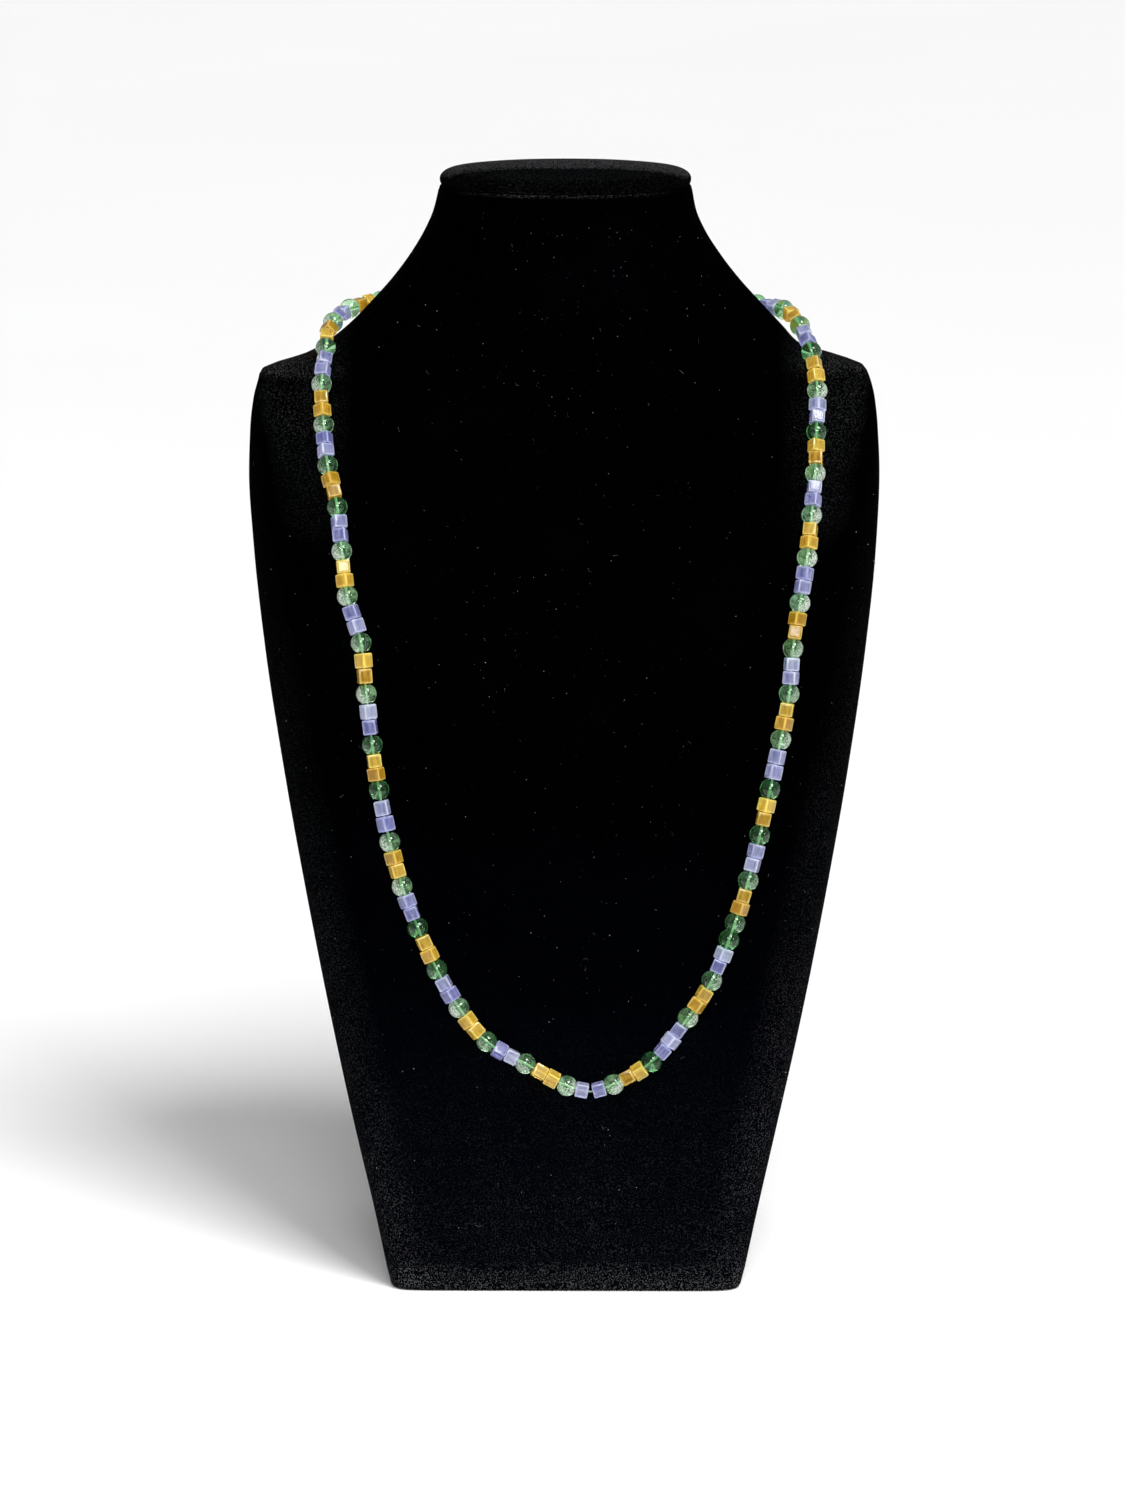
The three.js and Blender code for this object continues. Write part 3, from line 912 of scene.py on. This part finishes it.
@dataclass
class VelvetBust:
    """The bust and the padded cap on its neck, covered in one velvet."""

    form: BustForm
    finish: VelvetFinish = VelvetFinish()
    sides: int = 168
    base_edge: float = 1.2 * MM
    neck_edge: float = 0.6 * MM
    edge_steps: int = 5
    level_step: float = 4.2 * MM
    fine_level_step: float = 1.3 * MM
    fine_from: float = 0.72
    seat_gap: float = 0.3 * MM
    cap_thickness: float = 4.5 * MM
    cap_rim_height: float = 1.8 * MM
    cap_side_inset: float = 0.1 * MM
    cap_bottom_inset: float = 0.9 * MM
    cap_top_inset: float = 4.5 * MM
    cap_crown: float = 1.8 * MM
    cap_rim_steps: int = 10
    cap_crown_steps: int = 14

    def levels(self) -> list[float]:
        """Lists the heights of the bust's rings between its two edges, closer from the shoulders up.

        Returns:
            The heights, in metres.
        """
        top = self.form.height - self.neck_edge
        fine = self.form.height * self.fine_from
        found = []
        z = self.base_edge + self.level_step
        while z < top:
            found.append(z)
            z += self.level_step if z < fine else self.fine_level_step
        return found

    def build_bust(self) -> bpy.types.Object:
        """Builds the bust from its flat base to the soft edge of its neck.

        Returns:
            The bust.
        """
        base = self.form.outline(0.0)
        neck = self.form.outline(1.0)
        rings = []
        for step in range(self.edge_steps + 1):
            angle = math.pi / 2 * step / self.edge_steps
            inset = self.base_edge * (1 - math.sin(angle))
            rings.append(base.ring(self.sides, inset, self.base_edge * (1 - math.cos(angle))))
        for z in self.levels():
            rings.append(self.form.outline(z / self.form.height).ring(self.sides, 0.0, z))
        edge_start = self.form.height - self.neck_edge
        for step in range(self.edge_steps + 1):
            angle = math.pi / 2 * step / self.edge_steps
            inset = self.neck_edge * (1 - math.cos(angle))
            rings.append(neck.ring(self.sides, inset, edge_start + self.neck_edge * math.sin(angle)))
        bust = ring_body("velvet_bust", rings)
        smooth(bust, 60)
        return bust

    def build_cap(self) -> bpy.types.Object:
        """Builds the padded cap: a side that rounds in far above and little below, and a domed top.

        Returns:
            The cap.
        """
        neck = self.form.outline(1.0)
        bottom = self.form.height + self.seat_gap
        rings = []
        for step in range(-self.cap_rim_steps, self.cap_rim_steps + 1):
            angle = math.pi / 2 * step / self.cap_rim_steps
            reach = self.cap_bottom_inset if step < 0 else self.cap_top_inset
            rise = self.cap_rim_height if step < 0 else self.cap_thickness - self.cap_rim_height
            inset = self.cap_side_inset + reach * (1 - math.cos(angle))
            rings.append(neck.ring(self.sides, inset, bottom + self.cap_rim_height + rise * math.sin(angle)))
        top_reach = neck.ridge - neck.front - self.cap_top_inset
        for step in range(1, self.cap_crown_steps):
            share = step / self.cap_crown_steps
            crown = self.cap_crown * (1 - (1 - share) ** 2)
            inset = self.cap_top_inset + top_reach * share
            rings.append(neck.ring(self.sides, inset, bottom + self.cap_thickness + crown))
        cap = ring_body("velvet_cap", rings)
        smooth(cap, 60)
        return cap

    def build(self) -> None:
        """Builds, dresses and settles both pieces."""
        velvet = self.finish.material()
        for piece, node in ((self.build_bust(), "neck_bust"), (self.build_cap(), "neck_cap")):
            dress(piece, velvet)
            settle(piece, node)


class ThreadLine:
    """A smooth curve through the chosen points of the thread, measured along its length."""

    def __init__(self, points: list[Vector], samples: int = 2000) -> None:
        """Measures the curve through these points at many samples.

        Args:
            points: The chosen points.
            samples: How many samples.
        """
        self.points = points
        self.samples = samples
        self.lengths = [0.0]
        before = self.at_share(0.0)
        for step in range(1, samples + 1):
            here = self.at_share(step / samples)
            self.lengths.append(self.lengths[-1] + (here - before).length)
            before = here
        self.length = self.lengths[-1]

    def at_share(self, share: float) -> Vector:
        """Gives the centripetal curve's point at a share of its spans.

        Args:
            share: The share, from 0 to 1.

        Returns:
            The point.
        """
        last = len(self.points) - 1
        place = min(max(share, 0.0), 1.0) * last
        first = min(int(place), last - 1)
        t = place - first
        p1, p2 = self.points[first], self.points[first + 1]
        p0 = self.points[first - 1] if first > 0 else p1 * 2 - p2
        p3 = self.points[first + 2] if first + 2 <= last else p2 * 2 - p1
        d0, d1, d2 = (math.sqrt((b - a).length) for a, b in ((p0, p1), (p1, p2), (p2, p3)))
        start = ((p1 - p0) / d0 - (p2 - p0) / (d0 + d1) + (p2 - p1) / d1) * d1
        end = ((p2 - p1) / d1 - (p3 - p1) / (d1 + d2) + (p3 - p2) / d2) * d1
        square = p2 * 3 - p1 * 3 - start * 2 - end
        cube = p1 * 2 - p2 * 2 + start + end
        return p1 + start * t + square * t * t + cube * t * t * t

    def share_at(self, distance: float) -> float:
        """Gives the share of the spans at a distance along the curve.

        Args:
            distance: The distance from its start.

        Returns:
            The share, from 0 to 1.
        """
        distance = min(max(distance, 0.0), self.length)
        upper = max(1, bisect_left(self.lengths, distance))
        low, high = self.lengths[upper - 1], self.lengths[upper]
        return (upper - 1 + (distance - low) / (high - low)) / self.samples

    def at(self, distance: float) -> Vector:
        """Gives the point at a distance along the curve."""
        return self.at_share(self.share_at(distance))

    def direction(self, distance: float) -> Vector:
        """Gives the curve's direction at a distance along it."""
        share, step = self.share_at(distance), 0.0001
        return (self.at_share(share + step) - self.at_share(share - step)).normalized()


@dataclass(frozen=True)
class BeadSizes:
    """Sizes of the beads, the thread and the clasp."""

    round_diameter: float = 6.0 * MM
    round_length: float = 5.1 * MM
    cube_width: float = 3.9 * MM
    cube_length: float = 3.75 * MM
    cube_edge: float = 0.42 * MM
    cube_frame_from: float = 0.7
    hole_diameter: float = 1.1 * MM
    hole_glow: float = 1.1
    thread_diameter: float = 0.55 * MM
    bead_gap: float = 0.1 * MM
    skin_gap: float = 0.3 * MM
    kink_clearance: float = 0.27 * MM
    kink_bend: float = math.radians(16)
    clasp_length: float = 12.0 * MM
    clasp_gap: float = 0.3 * MM
    cube_roll_step: float = math.radians(37)

    def kink_gap(self) -> float:
        """Gives the room between the two first cubes at the kink."""
        return self.kink_clearance + self.cube_width * math.tan(self.kink_bend)

    def stand_off(self) -> float:
        """Gives how far the thread stays off the velvet."""
        return max(self.round_diameter, self.cube_width * math.sqrt(2)) / 2 + self.skin_gap


@dataclass(frozen=True)
class BeadPlace:
    """One bead: what it is, how far its middle lies along the thread, and how much it is lengthened."""

    kind: BeadKind
    distance: float
    stretch: float


class BeadModels:
    """One finished bead of each shape, kept out of the scene and copied onto the thread."""

    def __init__(self, sizes: BeadSizes) -> None:
        """Models the round bead and the cube bead.

        Args:
            sizes: The beads' sizes.
        """
        self.sizes = sizes
        self.round_mesh = self.model_round()
        self.cube_mesh = self.model_cube()

    def model_round(self) -> bpy.types.Mesh:
        """Models a closed glass ball, cut flat at both ends. It has no hole, and meets the thread there.

        Returns:
            The bead's mesh.
        """
        end = self.sizes.round_length / 2
        deselect_all()
        bpy.ops.mesh.primitive_uv_sphere_add(
            segments=24, ring_count=18, radius=self.sizes.round_diameter / 2
        )
        bead = bpy.context.active_object
        bpy.ops.object.mode_set(mode="EDIT")
        # Each cut moves to the ring of corners that lies less than 0.1 mm further out.
        for way in (1, -1):
            bpy.ops.mesh.select_all(action="SELECT")
            cut = {"plane_co": (0, 0, way * end), "plane_no": (0, 0, way)}
            bpy.ops.mesh.bisect(**cut, use_fill=True, clear_outer=True)
        return self.keep(bead, 35, lambda place: 0.0)

    def model_cube(self) -> bpy.types.Mesh:
        """Models a small cube with rounded edges, drilled through.

        Returns:
            The bead's mesh.
        """
        sizes = self.sizes
        deselect_all()
        bpy.ops.mesh.primitive_cube_add(size=1.0)
        bead = bpy.context.active_object
        bpy.ops.object.mode_set(mode="EDIT")
        bpy.ops.transform.resize(value=(sizes.cube_width, sizes.cube_width, sizes.cube_length))
        bpy.ops.mesh.bevel(offset=sizes.cube_edge, segments=2, affect="EDGES")
        self.select_flats(bead, sizes.cube_edge)
        bpy.ops.mesh.inset(thickness=sizes.cube_edge, use_individual=True)
        bpy.ops.object.mode_set(mode="OBJECT")
        hole = sizes.hole_diameter / 2
        bpy.ops.mesh.primitive_cylinder_add(vertices=12, radius=hole, depth=sizes.cube_length * 2)
        drill = bpy.context.active_object
        pick(bead)
        bpy.ops.object.modifier_add(type="BOOLEAN")
        cut = bead.modifiers[0]
        cut.operation = "DIFFERENCE"
        cut.object = drill
        bpy.ops.object.modifier_apply(modifier=cut.name)
        bpy.data.objects.remove(drill)
        half = (sizes.cube_width / 2, sizes.cube_width / 2, sizes.cube_length / 2)

        # Cube edges get the full share: partly frosted glass, partly a painted highlight for light on the
        # rounded bevels.
        def edge_share(place: Vector) -> float:
            """Gives 1 on the cube's edges, 0 in the middle of its faces and a half on its hole.

            Args:
                place: A place on the cube.

            Returns:
                The share.
            """
            if math.hypot(place.x, place.y) < hole * sizes.hole_glow:
                return 0.5
            nearness = sorted(abs(length) / reach for length, reach in zip(place, half))
            start = sizes.cube_frame_from
            return min(max((nearness[1] - start) / (1 - start), 0.0), 1.0)

        return self.keep(bead, 35, edge_share)

    def select_flats(self, bead: bpy.types.Object, edge: float) -> None:
        """Selects the large flat faces of a bead that is in edit mode.

        Args:
            bead: The bead.
            edge: How far its edges are rounded.
        """
        bpy.ops.mesh.select_all(action="DESELECT")
        bpy.ops.mesh.select_mode(type="FACE")
        shape = bmesh.from_edit_mesh(bead.data)
        for face in shape.faces:
            face.select_set(face.calc_area() > (4 * edge) ** 2)
        bmesh.update_edit_mesh(bead.data)

    def keep(
        self, bead: bpy.types.Object, degrees: float, edge_share: Callable[[Vector], float]
    ) -> bpy.types.Mesh:
        """Finishes a model bead and takes its mesh out of the scene.

        Args:
            bead: The bead.
            degrees: Edges sharper than this stay sharp.
            edge_share: Gives how much of an edge a place on the bead is.

        Returns:
            The bead's mesh.
        """
        deselect_all()
        smooth(bead, degrees)
        mesh = bead.data
        edge = mesh.attributes.new("bead_edge", "FLOAT", "POINT")
        edge.data.foreach_set("value", [edge_share(corner.co) for corner in mesh.vertices])
        own_place = mesh.attributes.new("bead_place", "FLOAT_VECTOR", "POINT")
        own_place.data.foreach_set("vector", [length for corner in mesh.vertices for length in corner.co])
        mesh.attributes.new("bead_tone", "FLOAT", "POINT")
        bpy.data.objects.remove(bead)
        return mesh


@dataclass
class StringHalf:
    """One half of the necklace's string, from the kink at its lowest point to the clasp."""

    side: str
    form: BustForm
    sizes: BeadSizes
    route: tuple
    first_runs: tuple
    slack: tuple
    seed: int
    thread_sides: int = 8
    thread_step: float = 1.6 * MM
    filled_share: float = 0.85
    longest_stretch: float = 0.17
    line: ThreadLine = field(init=False)

    def __post_init__(self) -> None:
        """Lays the thread along its route."""
        points = []
        for stop in self.route:
            distance = self.sizes.stand_off() + self.sizes.round_diameter * stop.lift
            points.append(self.form.over(stop.turn, stop.height, distance))
        self.line = ThreadLine(points)

    def end(self) -> float:
        """Gives where the beads and the thread stop, just before the clasp."""
        return self.line.length - self.sizes.clasp_length / 2 - self.sizes.clasp_gap

    def bead_places(self) -> list[BeadPlace]:
        """Lists the beads in order from the kink. Cubes are lengthened to fill most of a run's slack.

        Returns:
            The beads.
        """
        sizes = self.sizes
        lengths = {BeadKind.ROUND: sizes.round_length}
        first = (sizes.kink_gap() + sizes.cube_length) / 2
        places = [BeadPlace(BeadKind.LAVENDER, first, 1.0)]
        reached = first + sizes.cube_length / 2
        gap = sizes.bead_gap
        run = 0
        while True:
            after = run - len(self.first_runs)
            cubes = self.first_runs[run] if after < 0 else USUAL_RUNS[after % len(USUAL_RUNS)]
            stretch = 1.0
            for kind in [BeadKind.ROUND] + [cubes.kind] * cubes.cubes:
                length = lengths.get(kind, sizes.cube_length)
                if reached + gap + length > self.end():
                    return places
                places.append(BeadPlace(kind, reached + gap + length / 2, stretch))
                reached += gap + length
                if kind is BeadKind.ROUND:
                    slack = (self.slack[run] if run < len(self.slack) else 0.0) / (cubes.cubes + 1)
                    gap = sizes.bead_gap + sizes.cube_length * slack
                    stretch = 1.0 + min(slack * self.filled_share, self.longest_stretch)
            run += 1

    def build_beads(self, models: BeadModels, finishes: dict) -> None:
        """Copies the model beads onto the thread, one piece for each kind of glass.

        Args:
            models: The finished model beads.
            finishes: The material of each kind.
        """
        chance = random.Random(self.seed)
        strung = {kind: [] for kind in BeadKind}
        for number, place in enumerate(self.bead_places()):
            is_round = place.kind is BeadKind.ROUND
            mesh = (models.round_mesh if is_round else models.cube_mesh).copy()
            roll = Matrix.Rotation(self.sizes.cube_roll_step * number, 4, "Z")
            turn = AXIS_UP.rotation_difference(self.line.direction(place.distance)).to_matrix().to_4x4()
            longer = Matrix.Diagonal((1.0, 1.0, place.stretch, 1.0))
            mesh.transform(Matrix.Translation(self.line.at(place.distance)) @ turn @ roll @ longer)
            tone = chance.random()
            mesh.attributes["bead_tone"].data.foreach_set("value", [tone] * len(mesh.vertices))
            strung[place.kind].append(new_object(f"{place.kind.value}_{self.side}_{number}", mesh))
        for kind, beads in strung.items():
            pick(*beads)
            bpy.ops.object.join()
            piece = bpy.context.active_object
            piece.name = f"{PIECE_NAMES[kind]}_{self.side}"
            piece.data.name = piece.name
            dress(piece, finishes[kind])
            settle(piece, f"bead_string_{self.side}")

    def build_thread(self, material: bpy.types.Material) -> None:
        """Runs the thread through the beads as a thin round tube.

        Args:
            material: The thread's material.
        """
        steps = math.ceil(self.end() / self.thread_step)
        rings = []
        for step in range(steps + 1):
            distance = self.end() * step / steps
            middle = self.line.at(distance)
            along = self.line.direction(distance)
            across = along.cross(AXIS_UP).normalized()
            other = along.cross(across)
            ring = []
            for side in range(self.thread_sides):
                angle = 2 * math.pi * side / self.thread_sides
                out = across * math.cos(angle) + other * math.sin(angle)
                ring.append(middle + out * self.sizes.thread_diameter / 2)
            rings.append(ring)
        thread = ring_body(f"thread_{self.side}", rings)
        smooth(thread, 60)
        dress(thread, material)
        settle(thread, f"bead_string_{self.side}")


@dataclass
class BarrelClasp:
    """The plain barrel clasp behind the neck, turned about its own length."""

    form: BustForm
    sizes: BeadSizes
    nape: RoutePoint
    finish: MetalFinish = MetalFinish()
    sides: int = 32
    end_diameter: float = 2.6 * MM
    barrel_diameter: float = 3.9 * MM
    band_diameter: float = 4.4 * MM
    band_width: float = 1.8 * MM
    taper: float = 1.4 * MM

    def profile(self) -> list[tuple[float, float]]:
        """Lists distances along the clasp with the diameters there, from one end to the other.

        Returns:
            The pairs of distance and diameter.
        """
        half, band = self.sizes.clasp_length / 2, self.band_width / 2
        step = (self.band_diameter - self.barrel_diameter) / 2
        middle = (self.barrel_diameter + self.end_diameter) / 2
        one_side = [
            (half, self.end_diameter * 0.8),
            (half - self.taper * 0.08, self.end_diameter * 0.95),
            (half - self.taper * 0.3, self.end_diameter * 1.06),
            (half - self.taper * 0.65, middle * 1.08),
            (half - self.taper, self.barrel_diameter),
            (band + step, self.barrel_diameter),
            (band + step * 0.5, self.barrel_diameter * 1.04),
            (band + step * 0.2, self.band_diameter * 0.99),
            (band, self.band_diameter),
        ]
        return [(-along, across) for along, across in one_side] + one_side[::-1]

    def build(self) -> None:
        """Builds, dresses and settles the clasp."""
        middle = self.form.over(self.nape.turn, self.nape.height, self.sizes.stand_off())
        rings = []
        for along, diameter in self.profile():
            ring = []
            for side in range(self.sides):
                angle = 2 * math.pi * side / self.sides
                out = Vector((0.0, math.cos(angle), math.sin(angle)))
                ring.append(middle + Vector((along, 0.0, 0.0)) + out * diameter / 2)
            rings.append(ring)
        clasp = ring_body("barrel_clasp", rings)
        smooth(clasp, 40)
        dress(clasp, self.finish.material())
        settle(clasp, "clasp")


@dataclass
class Lint:
    """Specks and short hairs of fluff that cling to the velvet."""

    form: BustForm
    finish: LintFinish = LintFinish()
    seed: int = 21
    specks: int = 3200
    hairs: int = 130
    speck_size: float = 0.1 * MM
    hair_thickness: float = 0.04 * MM
    hair_length: float = 1.3 * MM
    hair_parts: int = 5

    def spot(self, chance: random.Random) -> tuple[Vector, Vector, Vector]:
        """Picks a place on the skin.

        Args:
            chance: The seeded source of random numbers.

        Returns:
            The place, the direction out of the skin and a direction along it.
        """
        turn = chance.uniform(-180, 180)
        share = chance.uniform(0.02, 0.985)
        out = self.form.normal(turn, share)
        angle = chance.uniform(0, 2 * math.pi)
        sideways = out.cross(AXIS_UP).normalized()
        along = sideways * math.cos(angle) + out.cross(sideways) * math.sin(angle)
        return self.form.skin(turn, share), out, along

    def add_speck(self, shape: bmesh.types.BMesh, chance: random.Random) -> None:
        """Adds one speck, a tiny uneven four-sided crumb.

        Args:
            shape: The mesh that it joins.
            chance: The seeded source of random numbers.
        """
        place, out, along = self.spot(chance)
        size = self.speck_size * (0.5 + 1.6 * chance.random() ** 4)
        other = out.cross(along)
        corners = [
            shape.verts.new(place + along * size),
            shape.verts.new(place - along * size * 0.6 + other * size * 0.8),
            shape.verts.new(place - along * size * 0.5 - other * size * 0.9),
            shape.verts.new(place + out * size * 1.3),
        ]
        for a, b, c in ((0, 2, 1), (0, 1, 3), (1, 2, 3), (2, 0, 3)):
            shape.faces.new((corners[a], corners[b], corners[c]))

    def add_hair(self, shape: bmesh.types.BMesh, chance: random.Random) -> None:
        """Adds one hair, a thin three-sided tube that curls along the skin.

        Args:
            shape: The mesh that it joins.
            chance: The seeded source of random numbers.
        """
        place, out, along = self.spot(chance)
        step = self.hair_length * chance.uniform(0.35, 1.3) / self.hair_parts
        curl = chance.uniform(-0.7, 0.7)
        place = place + out * self.hair_thickness
        rings = []
        for part in range(self.hair_parts + 1):
            other = out.cross(along)
            ring = []
            for side in range(3):
                angle = 2 * math.pi * side / 3
                offset = other * math.cos(angle) + out * math.sin(angle)
                ring.append(shape.verts.new(place + offset * self.hair_thickness / 2))
            rings.append(ring)
            place = place + along * step + out * step * chance.uniform(-0.02, 0.12)
            along = (along + other * (curl + chance.uniform(-0.25, 0.25))).normalized()
        for low, high in zip(rings, rings[1:]):
            for side in range(3):
                after = (side + 1) % 3
                shape.faces.new((low[side], low[after], high[after], high[side]))
        shape.faces.new(rings[0][::-1])
        shape.faces.new(rings[-1])

    def build(self) -> None:
        """Builds, dresses and settles all the lint as one piece."""
        chance = random.Random(self.seed)
        shape = bmesh.new()
        for _ in range(self.specks):
            self.add_speck(shape, chance)
        for _ in range(self.hairs):
            self.add_hair(shape, chance)
        bmesh.ops.recalc_face_normals(shape, faces=shape.faces)
        mesh = bpy.data.meshes.new("velvet_lint")
        shape.to_mesh(mesh)
        shape.free()
        lint = new_object("velvet_lint", mesh)
        dress(lint, self.finish.material())
        settle(lint, None)


@dataclass
class Studio:
    """A pale floor, soft lamps and the camera.

    The image's height and the focal length are in pixels, and the key lamp's width is in degrees.
    """

    floor_size: float = 14.0
    floor_drop: float = 0.2 * MM
    aim: Vector = field(default_factory=lambda: Vector((0.0, 0.0, 0.15)))
    camera_place: Vector = field(default_factory=lambda: Vector((0.012, -1.8, 0.56083)))
    camera_aim: Vector = field(default_factory=lambda: Vector((-0.00105, 0.01, 0.14959)))
    sensor: float = 36.0
    image_height: float = 1500.0
    focal_length: float = 6273.5
    room_strength: float = 0.27
    key_direction: tuple = (0.33, -0.46, 0.83)
    key_strength: float = 2.8
    key_width: float = 28.0

    def build_floor(self) -> None:
        """Lays the floor just under the base."""
        deselect_all()
        bpy.ops.mesh.primitive_plane_add(size=self.floor_size, location=(0, 0, -self.floor_drop))
        floor = bpy.context.active_object
        floor.name = "studio_floor"
        dress(floor, FloorFinish().material())

    def add_lamp(self, name: str, place: tuple, size: float, power: float, spread: float = 180.0) -> None:
        """Hangs one square lamp that points at the bust.

        Args:
            name: Its name.
            place: Where it hangs.
            size: Its side.
            power: Its power in watts.
            spread: How wide its light spreads, in degrees.
        """
        data = bpy.data.lights.new(name, "AREA")
        data.size = size
        data.energy = power
        data.spread = math.radians(spread)
        lamp = bpy.data.objects.new(name, data)
        lamp.location = place
        lamp.rotation_euler = (self.aim - lamp.location).to_track_quat("-Z", "Y").to_euler()
        bpy.context.scene.collection.objects.link(lamp)

    def add_sun(self, way: tuple, strength: float, degrees: float) -> None:
        """Hangs the far and wide soft lamp that lights the whole floor evenly.

        Args:
            way: The direction from the bust towards it.
            strength: Its strength.
            degrees: How wide it looks.
        """
        data = bpy.data.lights.new("key_lamp", "SUN")
        data.energy = strength
        data.angle = math.radians(degrees)
        lamp = bpy.data.objects.new("key_lamp", data)
        lamp.rotation_euler = Vector(way).to_track_quat("Z", "Y").to_euler()
        bpy.context.scene.collection.objects.link(lamp)

    def build_lamps(self) -> None:
        """Hangs the lamps and sets the even light of the room."""
        self.add_sun(self.key_direction, self.key_strength, self.key_width)
        self.add_lamp("soft_lamp", (0.0, -1.32, 0.86), 0.52, 1.5, spread=70)
        self.add_lamp("top_lamp", (-0.5, -1.5, 1.6), 0.14, 3.0)
        self.add_lamp("front_lamp", (0.9, -2.2, 1.3), 0.14, 5.2)
        self.add_lamp("side_lamp", (1.6, -1.2, 0.8), 0.2, 2.4)
        world = bpy.data.worlds.new("studio_room")
        world.use_nodes = True
        room = world.node_tree.nodes["Background"]
        room.inputs["Color"].default_value = (1.0, 1.0, 1.0, 1.0)
        room.inputs["Strength"].default_value = self.room_strength
        bpy.context.scene.world = world

    def build_camera(self) -> None:
        """Sets the camera, whose sensor size is that of the image's long side."""
        data = bpy.data.cameras.new("camera")
        data.sensor_width = self.sensor
        data.lens = self.focal_length / self.image_height * self.sensor
        data.clip_start, data.clip_end = 0.05, 60.0
        camera = bpy.data.objects.new("camera", data)
        camera.location = self.camera_place
        camera.rotation_euler = (self.camera_aim - self.camera_place).to_track_quat("-Z", "Y").to_euler()
        bpy.context.scene.collection.objects.link(camera)
        bpy.context.scene.camera = camera
        bpy.context.scene.view_settings.view_transform = "Standard"

    def build(self) -> None:
        """Builds the whole studio."""
        self.build_floor()
        self.build_lamps()
        self.build_camera()


def bust_form() -> BustForm:
    """Works out the bust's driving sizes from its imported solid.

    Returns:
        The bust's form.
    """
    low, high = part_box("neck_bust")
    widest = max(section.left for section in BODY_SECTIONS)
    base_depth = BODY_SECTIONS[0].back - BODY_SECTIONS[0].front
    return BustForm(height=high.z, half_width=-low.x / widest, depth=-2 * low.y / base_depth)


def main() -> None:
    """Builds every piece in order."""
    logging.basicConfig(level=logging.INFO, format="%(message)s")
    form = bust_form()
    log.info("bust: height %.4f, half width %.4f, depth %.4f", form.height, form.half_width, form.depth)
    sizes = BeadSizes()
    VelvetBust(form).build()
    Lint(form).build()
    models = BeadModels(sizes)
    green = GlassFinish(
        name="green_glass",
        deep=(0.12, 0.5, 0.15, 1.0),
        pale=(0.58, 0.86, 0.58, 1.0),
        edge=(0.8, 0.97, 0.78, 1.0),
        lamp_tint=(0.75, 0.97, 0.8, 1.0),
        transmission=0.98,
        gloss=0.8,
        scatter=1.0,
        # The green beads' painted caustic glow.
        painted_caustic=0.21,
        painted_caustic_paleness=2.6,
        streak_share=0.25,
    )
    amber = GlassFinish(
        name="amber_glass",
        deep=(0.46, 0.28, 0.015, 1.0),
        pale=(0.72, 0.56, 0.12, 1.0),
        edge=(0.85, 0.73, 0.3, 1.0),
        lamp_tint=(0.95, 0.8, 0.4, 1.0),
        transmission=0.72,
        roughness=0.12,
        scatter=1.0,
        streak_share=1.1,
        edge_share=0.45,
    )
    lavender = GlassFinish(
        name="lavender_glass",
        deep=(0.22, 0.225, 0.46, 1.0),
        pale=(0.53, 0.55, 0.66, 1.0),
        edge=(0.68, 0.7, 0.81, 1.0),
        lamp_tint=(0.75, 0.75, 0.95, 1.0),
        transmission=0.72,
        roughness=0.12,
        scatter=1.0,
        streak_share=0.9,
        edge_share=0.45,
    )
    finishes = {
        BeadKind.ROUND: green.material(),
        BeadKind.AMBER: amber.material(),
        BeadKind.LAVENDER: lavender.material(),
    }
    thread = ThreadFinish().material()
    for half in (
        StringHalf("left", form, sizes, LEFT_ROUTE, (), LEFT_SLACK, seed=5),
        StringHalf("right", form, sizes, RIGHT_ROUTE, RIGHT_FIRST_RUNS, RIGHT_SLACK, seed=8),
    ):
        log.info("%s half: %.1f mm", half.side, half.line.length / MM)
        half.build_beads(models, finishes)
        half.build_thread(thread)
    BarrelClasp(form, sizes, LEFT_ROUTE[-1]).build()
    Studio().build()
    deselect_all()


if __name__ == "__main__":
    main()
